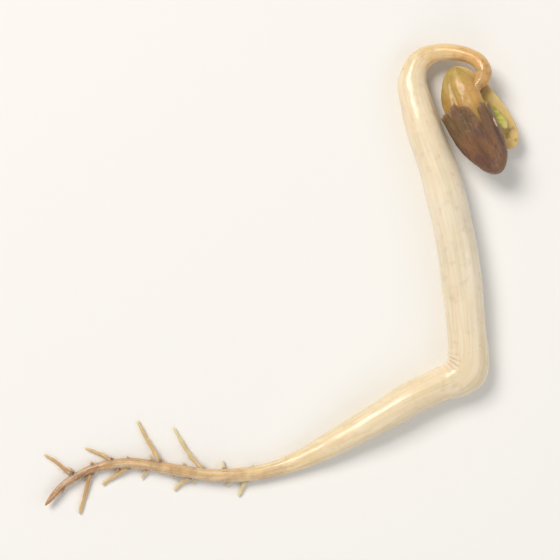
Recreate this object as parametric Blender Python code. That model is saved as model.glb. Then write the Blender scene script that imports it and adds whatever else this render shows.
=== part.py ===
"""Mung bean sprout, as picked, lying on a flat surface.

One thick pale stem grows from a thin golden neck, which hooks over beside the head, down to a sharp
elbow and on into a thin tapering root with short side roots. The head is a pair of seed leaves that gape
a little at their tips. A leaf bud sits between them, and half of the dark seed coat still clings to one.

The plan was laid out from the elbow: +Y runs up the long stretch of stem towards the hook, and the whole
sprout is moved at the end, so that its origin is the middle of its box, on the surface that it lies on.
"""
import math
from typing import NamedTuple

import bmesh
import bpy
import numpy as np
from mathutils import Matrix, Vector

MM = 0.001
UP = Vector((0, 0, 1))

# Stem and root
STEM_SIDES = 20
STEM_FLATNESS = 0.95
RING_STEP = 0.8
SAMPLES_PER_SPAN = 24
TURN_SAMPLES = 800
HEADING_REACH = 0.15
BEND_WEIGHT = 1.6
KNUCKLE_SWELL = 0.24
KNUCKLE_PINCH = 0.05
KNUCKLE_REACH = 1.5
NECK_CAP = 0.55
ROOT_CAP = 1.2
CAP_RINGS = 4

# Side roots, which stand out of the lower two thirds of the root
SIDE_ROOTS = 8
SIDE_ROOT_SEED = 11
SIDE_ROOT_SIDES = 6
SIDE_ROOT_STEP = 0.7
SIDE_ROOT_CAPS = (0.05, 0.3)
SIDE_ROOT_WIDTH = 0.44
SIDE_ROOT_TIP = 0.26
SIDE_ROOT_LENGTHS = (1.4, 4.2)
SIDE_ROOT_STRETCH = (0.10, 0.92)
SIDE_ROOT_LEANS = (32, 68)
SIDE_ROOT_BENDS = (-0.15, 0.50)
SIDE_ROOT_LIFT = 0.03
SIDE_ROOT_DROOP = 1.5
SIDE_ROOT_SPREAD = 0.8
SIDE_ROOT_STATIONS = 5

# Head: a pair of seed leaves that lie beside the stem, turned a little about their length, and the
# lower one splayed out from it
HEAD_BASE = (-1.14, 24.48)
HEAD_BEARING = -64.5
HEAD_ROLL = 21.0
LEAF_LENGTH = 8.1
LEAF_WIDTH = 3.35
LEAF_DEPTH = 1.45
LEAF_EDGE = 0.42
LEAF_BOW = 0.34
LEAF_FULLNESS = 2.3
LEAF_ROUNDNESS = 0.92
LEAF_FLATNESS = 0.6
LEAF_GAPE = 11.0
LEAF_SPLAY = 12.0
LEAF_GAP = 0.16
LEAF_DISH = 0.16
LEAF_SIDES = 24
LEAF_RINGS = 18
HEAD_PRESS = 0.07

# Leaf bud: two small folded leaves on a short stalk, which lean out past the seed leaves' edge
BUD_START = 1.75
BUD_LENGTH = 4.5
BUD_WIDTH = 1.75
BUD_THICKNESS = 0.66
BUD_STALK = 0.36
BUD_LEAN = 1.9
BUD_CURL = 1.4
BUD_TAPER = 1.35
BUD_FULLNESS = 0.8
BUD_FOLD = 0.16
BUD_SIDES = 16
BUD_RINGS = 16

# Seed coat: a thin shell over the far part of the upper seed leaf, with a torn rim
COAT_WALL = 0.22
COAT_CLEAR = 0.12
COAT_OVERHANG = 1.25
COAT_RIM = 3.5
COAT_TEAR = ((0.42, 2.0, 0.6), (0.17, 5.0, 1.9))
COAT_ARC = (-9.0, 189.0)
COAT_STRIPS = 20
COAT_RINGS = 13

# Finishes: name, colour and roughness
STEM_FLESH = ("stem_flesh", (0.82, 0.74, 0.58), 0.35)
SEED_LEAF_FLESH = ("seed_leaf_flesh", (0.66, 0.46, 0.15), 0.45)
LEAF_BUD_GREEN = ("leaf_bud_green", (0.58, 0.55, 0.20), 0.5)
SEED_COAT_SKIN = ("seed_coat_skin", (0.20, 0.11, 0.07), 0.4)


class Station(NamedTuple):
    """A place on the stem's middle line, in millimetres: plan position, lift off the surface, width."""

    x: float
    y: float
    lift: float
    width: float


NECK = (
    Station(1.02, 23.22, 1.98, 1.30),
    Station(1.36, 23.98, 1.92, 1.20),
    Station(1.06, 24.84, 1.72, 1.18),
    Station(0.06, 25.50, 1.38, 1.20),
    Station(-1.20, 25.80, 0.96, 1.26),
    Station(-2.50, 25.76, 0.55, 1.46),
    Station(-3.60, 25.24, 0.20, 1.82),
)
STEM = (
    Station(-4.27, 23.70, -0.04, 2.32),
    Station(-3.98, 21.80, -0.02, 2.62),
    Station(-3.22, 19.20, 0.10, 2.90),
    Station(-1.95, 15.40, 0.26, 3.12),
    Station(-1.05, 11.45, 0.30, 3.24),
    Station(-0.42, 7.55, 0.22, 3.22),
    Station(-0.02, 4.00, 0.06, 3.20),
)
ELBOW = (
    Station(0.12, 1.45, -0.17, 3.16),
    Station(-0.12, 0.24, -0.20, 3.06),
    Station(-1.00, -0.52, -0.17, 2.90),
)
FOOT = (
    Station(-2.20, -1.10, -0.04, 2.74),
    Station(-4.40, -2.16, 0.10, 2.66),
    Station(-6.60, -3.42, 0.14, 2.54),
    Station(-9.00, -4.86, 0.06, 2.30),
    Station(-11.20, -6.10, -0.08, 1.98),
    Station(-13.00, -7.02, -0.10, 1.62),
)
ROOT = (
    Station(-15.20, -7.86, -0.05, 1.30),
    Station(-17.90, -8.38, 0.12, 1.12),
    Station(-21.00, -8.36, 0.30, 1.00),
    Station(-24.20, -7.86, 0.28, 0.90),
    Station(-27.30, -7.46, 0.12, 0.80),
    Station(-30.20, -7.92, 0.06, 0.70),
    Station(-32.60, -9.20, 0.20, 0.58),
    Station(-34.10, -10.90, 0.42, 0.44),
)
ROUTE = NECK + STEM + ELBOW + FOOT + ROOT
ELBOW_STATION = len(NECK) + len(STEM) + 1
ROOT_STATION = len(NECK) + len(STEM) + len(ELBOW) + len(FOOT)


def clear_scene():
    """Remove every object that the file starts with."""
    for obj in list(bpy.data.objects):
        bpy.data.objects.remove(obj, do_unlink=True)


def material_for(finish):
    """Return the plain material of one finish, made the first time that it is asked for."""
    name, colour, roughness = finish
    if name in bpy.data.materials:
        return bpy.data.materials[name]
    material = bpy.data.materials.new(name)
    material.use_nodes = True
    shader = material.node_tree.nodes["Principled BSDF"]
    shader.inputs["Base Color"].default_value = (*colour, 1)
    shader.inputs["Roughness"].default_value = roughness
    shader.inputs["Metallic"].default_value = 0
    return material


def skin(bm, rings, closed):
    """Join a list of rings of points by faces, and return the rings' vertices.

    A ring of one point is a pole. An open ring has no face between its last point and its first.
    """
    rows = [[bm.verts.new(point) for point in ring] for ring in rings]
    for near, far in zip(rows, rows[1:]):
        span = max(len(near), len(far))
        for i in range(span if closed else span - 1):
            j = (i + 1) % span
            corners = [near[i % len(near)], near[j % len(near)], far[j % len(far)], far[i % len(far)]]
            bm.faces.new(list(dict.fromkeys(corners)))
    return rows


def make_object(name, bm, material, frame=Matrix()):
    """Turn a mesh in millimetres, drawn in a frame of its own, into an object in metres."""
    bm.transform(Matrix.Scale(MM, 4) @ frame)
    bmesh.ops.recalc_face_normals(bm, faces=bm.faces)
    mesh = bpy.data.meshes.new(name)
    bm.to_mesh(mesh)
    bm.free()
    mesh.shade_smooth()
    mesh.materials.append(material)
    obj = bpy.data.objects.new(name, mesh)
    bpy.context.scene.collection.objects.link(obj)
    return obj


def make_solid(name, rings, material, frame=Matrix()):
    """Make a closed solid from rings that begin and end in a pole."""
    bm = bmesh.new()
    skin(bm, rings, closed=True)
    return make_object(name, bm, material, frame)


def spline(stations):
    """Return points with widths along a smooth curve through the stations, and each station's index."""
    points = np.array([(s.x, s.y, s.lift + s.width * STEM_FLATNESS / 2, s.width) for s in stations])
    spans = np.linalg.norm(np.diff(points[:, :3], axis=0), axis=1)[:, None]
    slopes = np.diff(points, axis=0) / spans
    inner = (slopes[:-1] * spans[1:] + slopes[1:] * spans[:-1]) / (spans[:-1] + spans[1:])
    slopes = np.vstack((slopes[:1], inner, slopes[-1:]))
    samples = []
    for k, span in enumerate(spans):
        for t in np.arange(SAMPLES_PER_SPAN) / SAMPLES_PER_SPAN:
            ease = t * t * (3 - 2 * t)
            rise = span * (t * (1 - t) ** 2 * slopes[k] - t * t * (1 - t) * slopes[k + 1])
            samples.append(points[k] * (1 - ease) + points[k + 1] * ease + rise)
    samples.append(points[-1])
    return np.array(samples), [k * SAMPLES_PER_SPAN for k in range(len(stations))]


class Tube:
    """A curve with a width, measured by its length from the start."""

    def __init__(self, stations):
        self.samples, marks = spline(stations)
        steps = np.linalg.norm(np.diff(self.samples[:, :3], axis=0), axis=1)
        self.lengths = np.concatenate(([0], np.cumsum(steps)))
        self.marks = [self.lengths[i] for i in marks]
        self.length = self.lengths[-1]

    def at(self, distance):
        """Return the middle, the heading and the width at a distance along the curve."""
        x, y, z, width = (np.interp(distance, self.lengths, column) for column in self.samples.T)
        ahead, behind = (
            Vector([np.interp(distance + reach, self.lengths, column) for column in self.samples.T[:3]])
            for reach in (HEADING_REACH, -HEADING_REACH)
        )
        return Vector((x, y, z)), (ahead - behind).normalized(), float(width)

    def ring_places(self, step):
        """Return distances for the rings, closer together where the curve bends."""
        fine = np.linspace(0, self.length, TURN_SAMPLES)
        headings = [self.at(d)[1] for d in fine]
        turns = [a.angle(b) for a, b in zip(headings, headings[1:])]
        measure = np.concatenate(([0], np.cumsum(np.diff(fine) + BEND_WEIGHT * np.array(turns))))
        count = max(3, round(measure[-1] / step))
        return np.interp(np.linspace(0, measure[-1], count + 1), measure, fine)


def section(tube, distance, scale, sides, elbow):
    """Return one ring round the tube, never below the surface that the sprout lies on."""
    middle, heading, width = tube.at(distance)
    side = heading.cross(UP).normalized()
    above = side.cross(heading)
    nearness = 0 if elbow is None else math.exp(-(((distance - elbow) / KNUCKLE_REACH) ** 2))
    ring = []
    for i in range(sides):
        angle = 2 * math.pi * (i + 0.5) / sides
        across = width / 2 * scale * math.cos(angle)
        across *= 1 + nearness * (KNUCKLE_SWELL if across < 0 else -KNUCKLE_PINCH)
        rise = width / 2 * scale * STEM_FLATNESS * math.sin(angle)
        point = middle + side * across + above * rise
        ring.append(Vector((point.x, point.y, max(point.z, 0))))
    return ring


def capped_rings(tube, step, sides, caps, elbow=None):
    """Return a tube's rings, with a round cap that ends in a pole at each end."""
    start, end = caps
    turns = [math.pi / 2 * k / CAP_RINGS for k in range(1, CAP_RINGS + 1)]
    places = [(start * (1 - math.cos(a)), math.sin(a)) for a in turns]
    places += [(d, 1) for d in tube.ring_places(step) if start < d < tube.length - end]
    places += [(tube.length - end * (1 - math.cos(a)), math.sin(a)) for a in reversed(turns)]
    rings = [section(tube, distance, scale, sides, elbow) for distance, scale in places]
    return [[tube.at(0)[0]]] + rings + [[tube.at(tube.length)[0]]]


def side_root(main, place, turn, rng, material):
    """Make one short side root, from the root's middle line outwards and down to the surface."""
    middle, heading, width = main.at(place)
    side = heading.cross(UP).normalized() * turn
    lean = math.radians(rng.uniform(*SIDE_ROOT_LEANS))
    out = heading * math.cos(lean) + side * math.sin(lean)
    bend = side.lerp(heading, rng.uniform(0, 1)) * rng.uniform(*SIDE_ROOT_BENDS)
    length = rng.uniform(*SIDE_ROOT_LENGTHS)
    stations = []
    for t in np.linspace(0, 1, SIDE_ROOT_STATIONS):
        thick = SIDE_ROOT_WIDTH + (SIDE_ROOT_TIP - SIDE_ROOT_WIDTH) * t
        point = middle + (out + bend * t) * (length + width / 2) * t
        start_lift = middle.z - SIDE_ROOT_WIDTH / 2
        lift = max(start_lift * (1 - t) ** SIDE_ROOT_DROOP, SIDE_ROOT_LIFT)
        stations.append(Station(point.x, point.y, lift, thick))
    tube = Tube(stations)
    rings = capped_rings(tube, SIDE_ROOT_STEP, SIDE_ROOT_SIDES, SIDE_ROOT_CAPS)
    return make_solid("side_root", rings, material)


def fuse(obj, additions):
    """Join the added objects to the first by one Boolean union, and remove them."""
    holder = bpy.data.collections.new("additions")
    for addition in additions:
        holder.objects.link(addition)
    union = obj.modifiers.new("Union", "BOOLEAN")
    union.operation = "UNION"
    union.operand_type = "COLLECTION"
    union.collection = holder
    union.solver = "EXACT"
    evaluated = obj.evaluated_get(bpy.context.evaluated_depsgraph_get())
    joined = bpy.data.meshes.new_from_object(evaluated)
    obj.modifiers.clear()
    obj.data = joined
    for addition in additions:
        bpy.data.objects.remove(addition, do_unlink=True)
    bpy.data.collections.remove(holder)
    joined.shade_smooth()


def build_stem_and_root():
    """Make the stem, its neck and its root, which grew as one piece, with the side roots fused on."""
    main = Tube(ROUTE)
    material = material_for(STEM_FLESH)
    rings = capped_rings(main, RING_STEP, STEM_SIDES, (NECK_CAP, ROOT_CAP), main.marks[ELBOW_STATION])
    stem = make_solid("stem_and_root", rings, material)
    rng = np.random.default_rng(SIDE_ROOT_SEED)
    root_start = main.marks[ROOT_STATION]
    low, high = SIDE_ROOT_STRETCH
    additions = []
    for k in range(SIDE_ROOTS):
        share = low + (high - low) * (k + rng.uniform(0, SIDE_ROOT_SPREAD)) / SIDE_ROOTS
        place = root_start + share * (main.length - root_start)
        turn = 1 if k % 2 else -1
        additions.append(side_root(main, place, turn, rng, material))
    fuse(stem, additions)
    return stem


def bean_shape(x):
    """Return how full the bean's outline is at x, from -1 at its base end to 1 at its tip."""
    return max(0, 1 - abs(x) ** LEAF_FULLNESS) ** 0.5


def bean_middle(u):
    """Return the sideways bow of the seed leaf's middle line, u millimetres from its base end."""
    share = min(max(u / LEAF_LENGTH, 0), 1)
    return -LEAF_BOW * 4 * share * (1 - share)


def leaf_section(u, fullness, grow, angle):
    """Return a point of the seed leaf's skin: along, across and out from its inner face."""
    half_width = (LEAF_WIDTH / 2 + grow) * fullness
    depth = (LEAF_DEPTH + grow) * fullness
    edge = LEAF_EDGE * fullness
    across, out = math.cos(angle), math.sin(angle)
    v = bean_middle(u) + half_width * math.copysign(abs(across) ** LEAF_ROUNDNESS, across)
    if out >= 0:
        w = edge + (depth - edge) * out**LEAF_ROUNDNESS
    else:
        w = edge * (1 - abs(out) ** LEAF_FLATNESS) + LEAF_DISH * fullness * out**2
    return Vector((u, v, w))


def head_matrix():
    """Return the head's frame: X along it, Y across towards the neck's end, Z out of the upper leaf."""
    bearing = math.radians(HEAD_BEARING)
    along = Vector((math.cos(bearing), math.sin(bearing), 0))
    across = UP.cross(along)
    turned = Matrix.Rotation(math.radians(HEAD_ROLL), 3, along)
    axes = Matrix((along, turned @ across, turned @ UP)).transposed()
    return Matrix.Translation((*HEAD_BASE, 0)) @ axes.to_4x4()


def leaf_frame(side):
    """Return the place in the head of the upper (1) or the lower (-1) seed leaf, opened at its tip."""
    mirror = Matrix.Diagonal((1, 1, side, 1))
    turn = Matrix.Rotation(math.radians(-LEAF_GAPE / 2 * side), 4, "Y")
    splay = Matrix.Rotation(math.radians(LEAF_SPLAY if side < 0 else 0), 4, "Z")
    return splay @ turn @ mirror @ Matrix.Translation((0, 0, LEAF_GAP / 2))


def leaf_rings():
    """Return the rings of one seed leaf, flat face down, with a pole at each end."""
    angles = [2 * math.pi * (i + 0.5) / LEAF_SIDES for i in range(LEAF_SIDES)]
    rings = []
    for k in range(LEAF_RINGS + 1):
        x = -math.cos(math.pi * k / LEAF_RINGS)
        u = LEAF_LENGTH * (1 + x) / 2
        if k in (0, LEAF_RINGS):
            rings.append([Vector((u, bean_middle(u), 0))])
        else:
            rings.append([leaf_section(u, bean_shape(x), 0, angle) for angle in angles])
    return rings


def build_seed_leaf(name, side, frame):
    """Make one seed leaf, half a bean, above (1) or below (-1) the head's middle plane."""
    return make_solid(name, leaf_rings(), material_for(SEED_LEAF_FLESH), frame @ leaf_frame(side))


def coat_sheet(grow, overhang):
    """Return the rings of one face of the seed coat, from its torn rim to the pole at its far end."""
    half = LEAF_LENGTH / 2
    low, high = (math.radians(a) for a in COAT_ARC)
    rings = []
    for k in range(COAT_RINGS):
        ring = []
        for i in range(COAT_STRIPS + 1):
            angle = low + (high - low) * i / COAT_STRIPS
            rim = COAT_RIM + sum(size * math.sin(beat * angle + phase) for size, beat, phase in COAT_TEAR)
            turn = math.acos((rim - half) / half) * (1 - k / COAT_RINGS)
            x = math.cos(turn)
            u = half + x * (half + overhang if x > 0 else half)
            ring.append(leaf_section(u, bean_shape(x), grow, angle))
        rings.append(ring)
    return rings + [[Vector((LEAF_LENGTH + overhang, bean_middle(LEAF_LENGTH), 0))]]


def build_seed_coat(frame):
    """Make the seed coat: an outer and an inner face joined round their edges."""
    bm = bmesh.new()
    outer = skin(bm, coat_sheet(COAT_CLEAR + COAT_WALL, COAT_OVERHANG), closed=False)
    inner = skin(bm, coat_sheet(COAT_CLEAR, COAT_OVERHANG - COAT_WALL), closed=False)
    for i in range(COAT_STRIPS):
        bm.faces.new((outer[0][i], outer[0][i + 1], inner[0][i + 1], inner[0][i]))
    for side in (0, -1):
        for k in range(COAT_RINGS):
            bm.faces.new((outer[k][side], outer[k + 1][side], inner[k + 1][side], inner[k][side]))
    return make_object("seed_coat", bm, material_for(SEED_COAT_SKIN), frame @ leaf_frame(1))


def build_leaf_bud(frame):
    """Make the folded first leaves as one flat bud on a thin stalk, between the seed leaves."""
    angles = [2 * math.pi * (i + 0.5) / BUD_SIDES for i in range(BUD_SIDES)]
    rings = []
    for k in range(BUD_RINGS + 1):
        t = (1 - math.cos(math.pi * k / BUD_RINGS)) / 2
        u = BUD_START + BUD_LENGTH * t
        lean = BUD_LEAN * t**BUD_CURL
        blade = math.sin(math.pi * t**BUD_TAPER) ** BUD_FULLNESS if 0 < t < 1 else 0
        stalk = BUD_STALK * math.sqrt(4 * t * (1 - t))
        width = stalk + (BUD_WIDTH - BUD_STALK) * blade
        depth = stalk + (BUD_THICKNESS - BUD_STALK) * blade
        ring = []
        for angle in angles:
            across = math.cos(angle)
            fold = 1 - BUD_FOLD * blade * (1 - abs(across)) ** 2
            ring.append(Vector((u, lean + width / 2 * across, depth / 2 * math.sin(angle) * fold)))
        rings.append(ring if 0 < k < BUD_RINGS else [Vector((u, lean, 0))])
    return make_solid("leaf_bud", rings, material_for(LEAF_BUD_GREEN), frame)


def lowest(objects):
    """Return the lowest point of some objects."""
    return min(vertex.co.z for obj in objects for vertex in obj.data.vertices)


def rest_head(pieces):
    """Set the head down on the surface, pressed to a small flat spot."""
    drop = lowest(pieces) + HEAD_PRESS * MM
    for piece in pieces:
        for vertex in piece.data.vertices:
            vertex.co.z = max(vertex.co.z - drop, 0)


def centre_on_box(objects):
    """Move all the objects so that the middle of their box, on the surface, is the origin."""
    corners = [vertex.co for obj in objects for vertex in obj.data.vertices]
    middle = [(min(c[i] for c in corners) + max(c[i] for c in corners)) / 2 for i in (0, 1)]
    for obj in objects:
        obj.data.transform(Matrix.Translation((-middle[0], -middle[1], 0)))


def main():
    """Build the sprout."""
    clear_scene()
    frame = head_matrix()
    stem = build_stem_and_root()
    head = [
        build_seed_leaf("seed_leaf_upper", 1, frame),
        build_seed_leaf("seed_leaf_lower", -1, frame),
        build_leaf_bud(frame),
        build_seed_coat(frame),
    ]
    rest_head(head)
    centre_on_box([stem] + head)


main()
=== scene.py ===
"""Mung bean sprout, dressed for a close look.

The stem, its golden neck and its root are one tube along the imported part's own middle line, with fine
ribs, lumps and folds. Side roots, stubs of more of them and fine hairs grow out of the root. The head is
a pair of plump seed leaves that gape, a folded leaf bud between them and half a wrinkled seed coat. Sizes
are in millimetres in the sprout's plan, which is drawn from the elbow with +Y up the long stretch of
stem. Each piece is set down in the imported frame, in metres, when it is done.
"""
import logging
import math
from abc import ABC, abstractmethod
from collections.abc import Iterator, Sequence
from dataclasses import dataclass, field
from enum import Enum
from typing import Any

import bmesh
import bpy
import numpy as np
from bpy.types import Material, Mesh, Node, NodeSocket, NodeTree
from mathutils import Matrix, Vector


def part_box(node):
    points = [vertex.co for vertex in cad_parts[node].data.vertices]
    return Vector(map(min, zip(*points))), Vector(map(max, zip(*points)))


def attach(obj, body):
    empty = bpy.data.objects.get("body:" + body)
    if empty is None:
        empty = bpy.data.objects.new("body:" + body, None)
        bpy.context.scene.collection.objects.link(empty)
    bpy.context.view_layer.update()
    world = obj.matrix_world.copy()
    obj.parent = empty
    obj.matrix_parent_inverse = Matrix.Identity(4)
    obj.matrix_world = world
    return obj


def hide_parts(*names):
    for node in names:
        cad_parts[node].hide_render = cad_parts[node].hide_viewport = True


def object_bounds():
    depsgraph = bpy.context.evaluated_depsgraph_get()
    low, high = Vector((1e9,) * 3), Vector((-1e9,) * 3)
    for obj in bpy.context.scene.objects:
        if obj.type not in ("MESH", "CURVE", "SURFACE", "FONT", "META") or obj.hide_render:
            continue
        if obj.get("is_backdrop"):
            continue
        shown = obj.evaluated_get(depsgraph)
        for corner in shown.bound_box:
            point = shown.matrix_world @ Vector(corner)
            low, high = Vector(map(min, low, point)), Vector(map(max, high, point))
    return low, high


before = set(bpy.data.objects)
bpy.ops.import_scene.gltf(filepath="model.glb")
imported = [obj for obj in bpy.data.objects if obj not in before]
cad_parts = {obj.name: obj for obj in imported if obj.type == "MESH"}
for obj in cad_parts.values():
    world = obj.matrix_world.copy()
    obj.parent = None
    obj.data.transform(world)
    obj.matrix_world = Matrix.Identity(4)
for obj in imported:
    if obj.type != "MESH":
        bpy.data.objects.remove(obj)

CAD_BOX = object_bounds()
LOG = logging.getLogger("mung_bean_sprout")
MM = 0.001
UP = Vector((0, 0, 1))

Colour = tuple[float, float, float, float]
# Sizes, places and strengths that come in twos and threes, and rows of threes.
Pair = tuple[float, float]
Three = tuple[float, float, float]
Rows = tuple[Three, ...]


class Slot(Enum):
    """The record's material slots."""

    STEM = "stem_flesh"
    SEED_LEAF = "seed_leaf_flesh"
    BUD = "leaf_bud_green"
    COAT = "seed_coat_skin"


class Look(Enum):
    """The finishes of the dressed sprout."""

    STEM = "stem_flesh"
    SEED_LEAF = "seed_leaf_flesh"
    BUD = "leaf_bud_green"
    COAT = "seed_coat_skin"
    SCAR = "hilum_scar"
    HAIR = "fine_hair"


class LeafSide(Enum):
    """Which of the two leaves of a pair, as the sign of its place above or below the head's middle plane."""

    UPPER = 1
    LOWER = -1


class TreeKind(Enum):
    """The two kinds of node group that the sprout uses."""

    SHADER = "ShaderNodeTree"
    GEOMETRY = "GeometryNodeTree"


class Pattern(Enum):
    """The patterns that the finishes share, each a shader group."""

    STREAKS = "long streaks"
    MOTTLE = "soft mottle"
    SPECKS = "small specks"
    GRAIN = "skin grain"


def screen(red: int, green: int, blue: int) -> Colour:
    """Return a colour given as on a screen, 0 to 255, in Blender's linear values."""
    shares = (value / 255 for value in (red, green, blue))
    linear = (s / 12.92 if s <= 0.04045 else ((s + 0.055) / 1.055) ** 2.4 for s in shares)
    return (*linear, 1.0)


class Wiring:
    """Adds nodes to a tree and joins them, for shaders and for geometry alike."""

    def __init__(self, tree: NodeTree) -> None:
        """Keep the tree that the nodes go into."""
        self.tree = tree

    def feed(self, socket: NodeSocket, value: Any) -> None:
        """Join a node or a socket to an input, or set the input's own value.

        Args:
            socket: The input.
            value: A node, whose first output is used, a socket, or a plain value.
        """
        if isinstance(value, Node):
            value = value.outputs[0]
        if isinstance(value, NodeSocket):
            self.tree.links.new(value, socket)
        else:
            socket.default_value = value

    def add(self, kind: str, inputs: dict[str | int, Any] | None = None, **settings: Any) -> Node:
        """Add a node.

        Args:
            kind: The node's type.
            inputs: Values or sources for its inputs, by name or by number.
            settings: The node's own settings.

        Returns:
            The new node.
        """
        node = self.tree.nodes.new(kind)
        for name, value in settings.items():
            setattr(node, name, value)
        for key, value in (inputs or {}).items():
            self.feed(node.inputs[key], value)
        return node

    def math(self, operation: str, *values: Any) -> NodeSocket:
        """Return the result of a Math node on some values."""
        return self.add("ShaderNodeMath", dict(enumerate(values)), operation=operation).outputs[0]

    def product(self, first: Any, *others: Any) -> NodeSocket:
        """Return numbers multiplied together."""
        for other in others:
            first = self.math("MULTIPLY", first, other)
        return first

    def vector(self, operation: str, *values: Any) -> NodeSocket:
        """Return the result of a Vector Math node on some vectors."""
        return self.add("ShaderNodeVectorMath", dict(enumerate(values)), operation=operation).outputs[0]

    def scaled(self, vector: Any, factor: Any) -> NodeSocket:
        """Return a vector times a number."""
        return self.add("ShaderNodeVectorMath", {0: vector, "Scale": factor}, operation="SCALE").outputs[0]

    def ease(self, value: Any, low: Any, high: Any) -> NodeSocket:
        """Return 0 below low, 1 above high and a smooth step between, or the reverse if low is higher."""
        inputs = {"Value": value, "From Min": low, "From Max": high}
        return self.add("ShaderNodeMapRange", inputs, interpolation_type="SMOOTHSTEP").outputs[0]

    def noise(self, vector: Any, scale: Any, seed: Any, detail: float = 2.0) -> NodeSocket:
        """Return a noise value of about 0 to 1."""
        inputs = {"Vector": vector, "W": seed, "Scale": scale, "Detail": detail}
        return self.add("ShaderNodeTexNoise", inputs, noise_dimensions="4D").outputs[0]

    def blend(self, share: Any, first: Any, second: Any, mode: str = "MIX") -> NodeSocket:
        """Return a colour mixed from two by a share, by the Mix node's sockets for colours."""
        inputs = {0: share, 6: first, 7: second}
        return self.add("ShaderNodeMix", inputs, data_type="RGBA", blend_type=mode).outputs[2]

    def ramp(self, share: Any, stops: Sequence[tuple[float, Colour]]) -> NodeSocket:
        """Return a colour read from a ramp with smooth stops, from 0 to 1."""
        node = self.add("ShaderNodeValToRGB", {"Fac": share})
        node.color_ramp.interpolation = "EASE"
        elements = node.color_ramp.elements
        while len(elements) < len(stops):
            elements.new(1.0)
        for element, (place, colour) in zip(elements, stops):
            element.position = place
            element.color = colour
        return node.outputs[0]

    def attribute(self, name: str, output: str = "Fac") -> NodeSocket:
        """Return a shader's reading of a value kept on the mesh, as Fac or as Vector."""
        return self.add("ShaderNodeAttribute", attribute_name=name).outputs[output]

    def kept(self, name: str, kind: str = "FLOAT") -> NodeSocket:
        """Return a geometry tree's reading of a value kept on the mesh."""
        return self.add("GeometryNodeInputNamedAttribute", {"Name": name}, data_type=kind).outputs[0]

    def keep(self, geometry: Any, name: str, value: Any, kind: str = "FLOAT_VECTOR") -> NodeSocket:
        """Return geometry with a value stored at its points."""
        node = self.add("GeometryNodeStoreNamedAttribute", data_type=kind, domain="POINT")
        for key, item in (("Geometry", geometry), ("Name", name), ("Value", value)):
            self.feed(node.inputs[key], item)
        return node.outputs[0]

    def finished(self, geometry: Any, finish: Any) -> NodeSocket:
        """Return geometry as plain mesh with its material, as every geometry tree here ends."""
        real = self.add("GeometryNodeRealizeInstances", {"Geometry": geometry})
        return self.add("GeometryNodeSetMaterial", {"Geometry": real, "Material": finish}).outputs[0]


@dataclass(frozen=True)
class Port:
    """One named input or output of a node group, with its own value."""

    name: str
    kind: str = "Float"
    value: Any = None


def new_group(
    name: str, kind: TreeKind, inputs: Sequence[Port], output: Port
) -> tuple[Wiring, Any, NodeSocket]:
    """Start a node group.

    Args:
        name: The group's name.
        kind: Shader or geometry.
        inputs: Its inputs.
        output: Its one output.

    Returns:
        The wiring of the group, its input's outputs and the socket that its result goes into.
    """
    tree = bpy.data.node_groups.new(name, kind.value)
    for direction, port in [("INPUT", port) for port in inputs] + [("OUTPUT", output)]:
        socket = tree.interface.new_socket(port.name, in_out=direction, socket_type=f"NodeSocket{port.kind}")
        if port.value is not None:
            socket.default_value = port.value
    wiring = Wiring(tree)
    return wiring, wiring.add("NodeGroupInput").outputs, wiring.add("NodeGroupOutput").inputs[0]


def numbers(**values: float) -> list[Port]:
    """Return plain number inputs, whose names have a space for each _."""
    return [Port(name.replace("_", " "), value=value) for name, value in values.items()]


def put_in_scene(name: str, data: Any) -> bpy.types.Object:
    """Return a new object with its data, linked to the scene."""
    item = bpy.data.objects.new(name, data)
    bpy.context.scene.collection.objects.link(item)
    return item


def grow(mesh: Mesh, tree: NodeTree, settings: dict[str, Any]) -> Mesh:
    """Run a geometry node tree on a mesh.

    Args:
        mesh: The mesh that the tree starts from. It is removed afterwards.
        tree: The node tree.
        settings: Values for the tree's inputs, by their names.

    Returns:
        The plain mesh that the tree makes.
    """
    seedling = put_in_scene(mesh.name, mesh)
    modifier = seedling.modifiers.new(tree.name, "NODES")
    modifier.node_group = tree
    sockets = {item.name: item.identifier for item in tree.interface.items_tree if item.in_out == "INPUT"}
    for name, value in settings.items():
        modifier[sockets[name]] = value
    return harvest(seedling)


def harvest(seedling: bpy.types.Object) -> Mesh:
    """Return the plain mesh that an object's modifiers make, and remove the object and its own mesh."""
    start = seedling.data
    depsgraph = bpy.context.evaluated_depsgraph_get()
    evaluated = seedling.evaluated_get(depsgraph)
    mesh = bpy.data.meshes.new_from_object(evaluated, preserve_all_data_layers=True, depsgraph=depsgraph)
    bpy.data.objects.remove(seedling, do_unlink=True)
    bpy.data.meshes.remove(start)
    return mesh


def spots(mesh: Mesh) -> np.ndarray:
    """Return a mesh's points as rows of three numbers."""
    points = np.empty(len(mesh.vertices) * 3)
    mesh.vertices.foreach_get("co", points)
    return points.reshape(-1, 3)


def read_values(mesh: Mesh, name: str) -> np.ndarray:
    """Return the numbers kept at a mesh's points under a name."""
    values = np.empty(len(mesh.vertices))
    mesh.attributes[name].data.foreach_get("value", values)
    return values


def set_values(mesh: Mesh, **values: Any) -> None:
    """Keep numbers or vectors at a mesh's points, by name. One number goes to every point."""
    for name, given in values.items():
        array = np.asarray(given, dtype=float)
        is_vector = array.ndim == 2
        shape = (len(mesh.vertices), 3) if is_vector else (len(mesh.vertices),)
        kind = "FLOAT_VECTOR" if is_vector else "FLOAT"
        attribute = mesh.attributes.get(name) or mesh.attributes.new(name, kind, "POINT")
        attribute.data.foreach_set("vector" if is_vector else "value", np.broadcast_to(array, shape).ravel())


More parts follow.
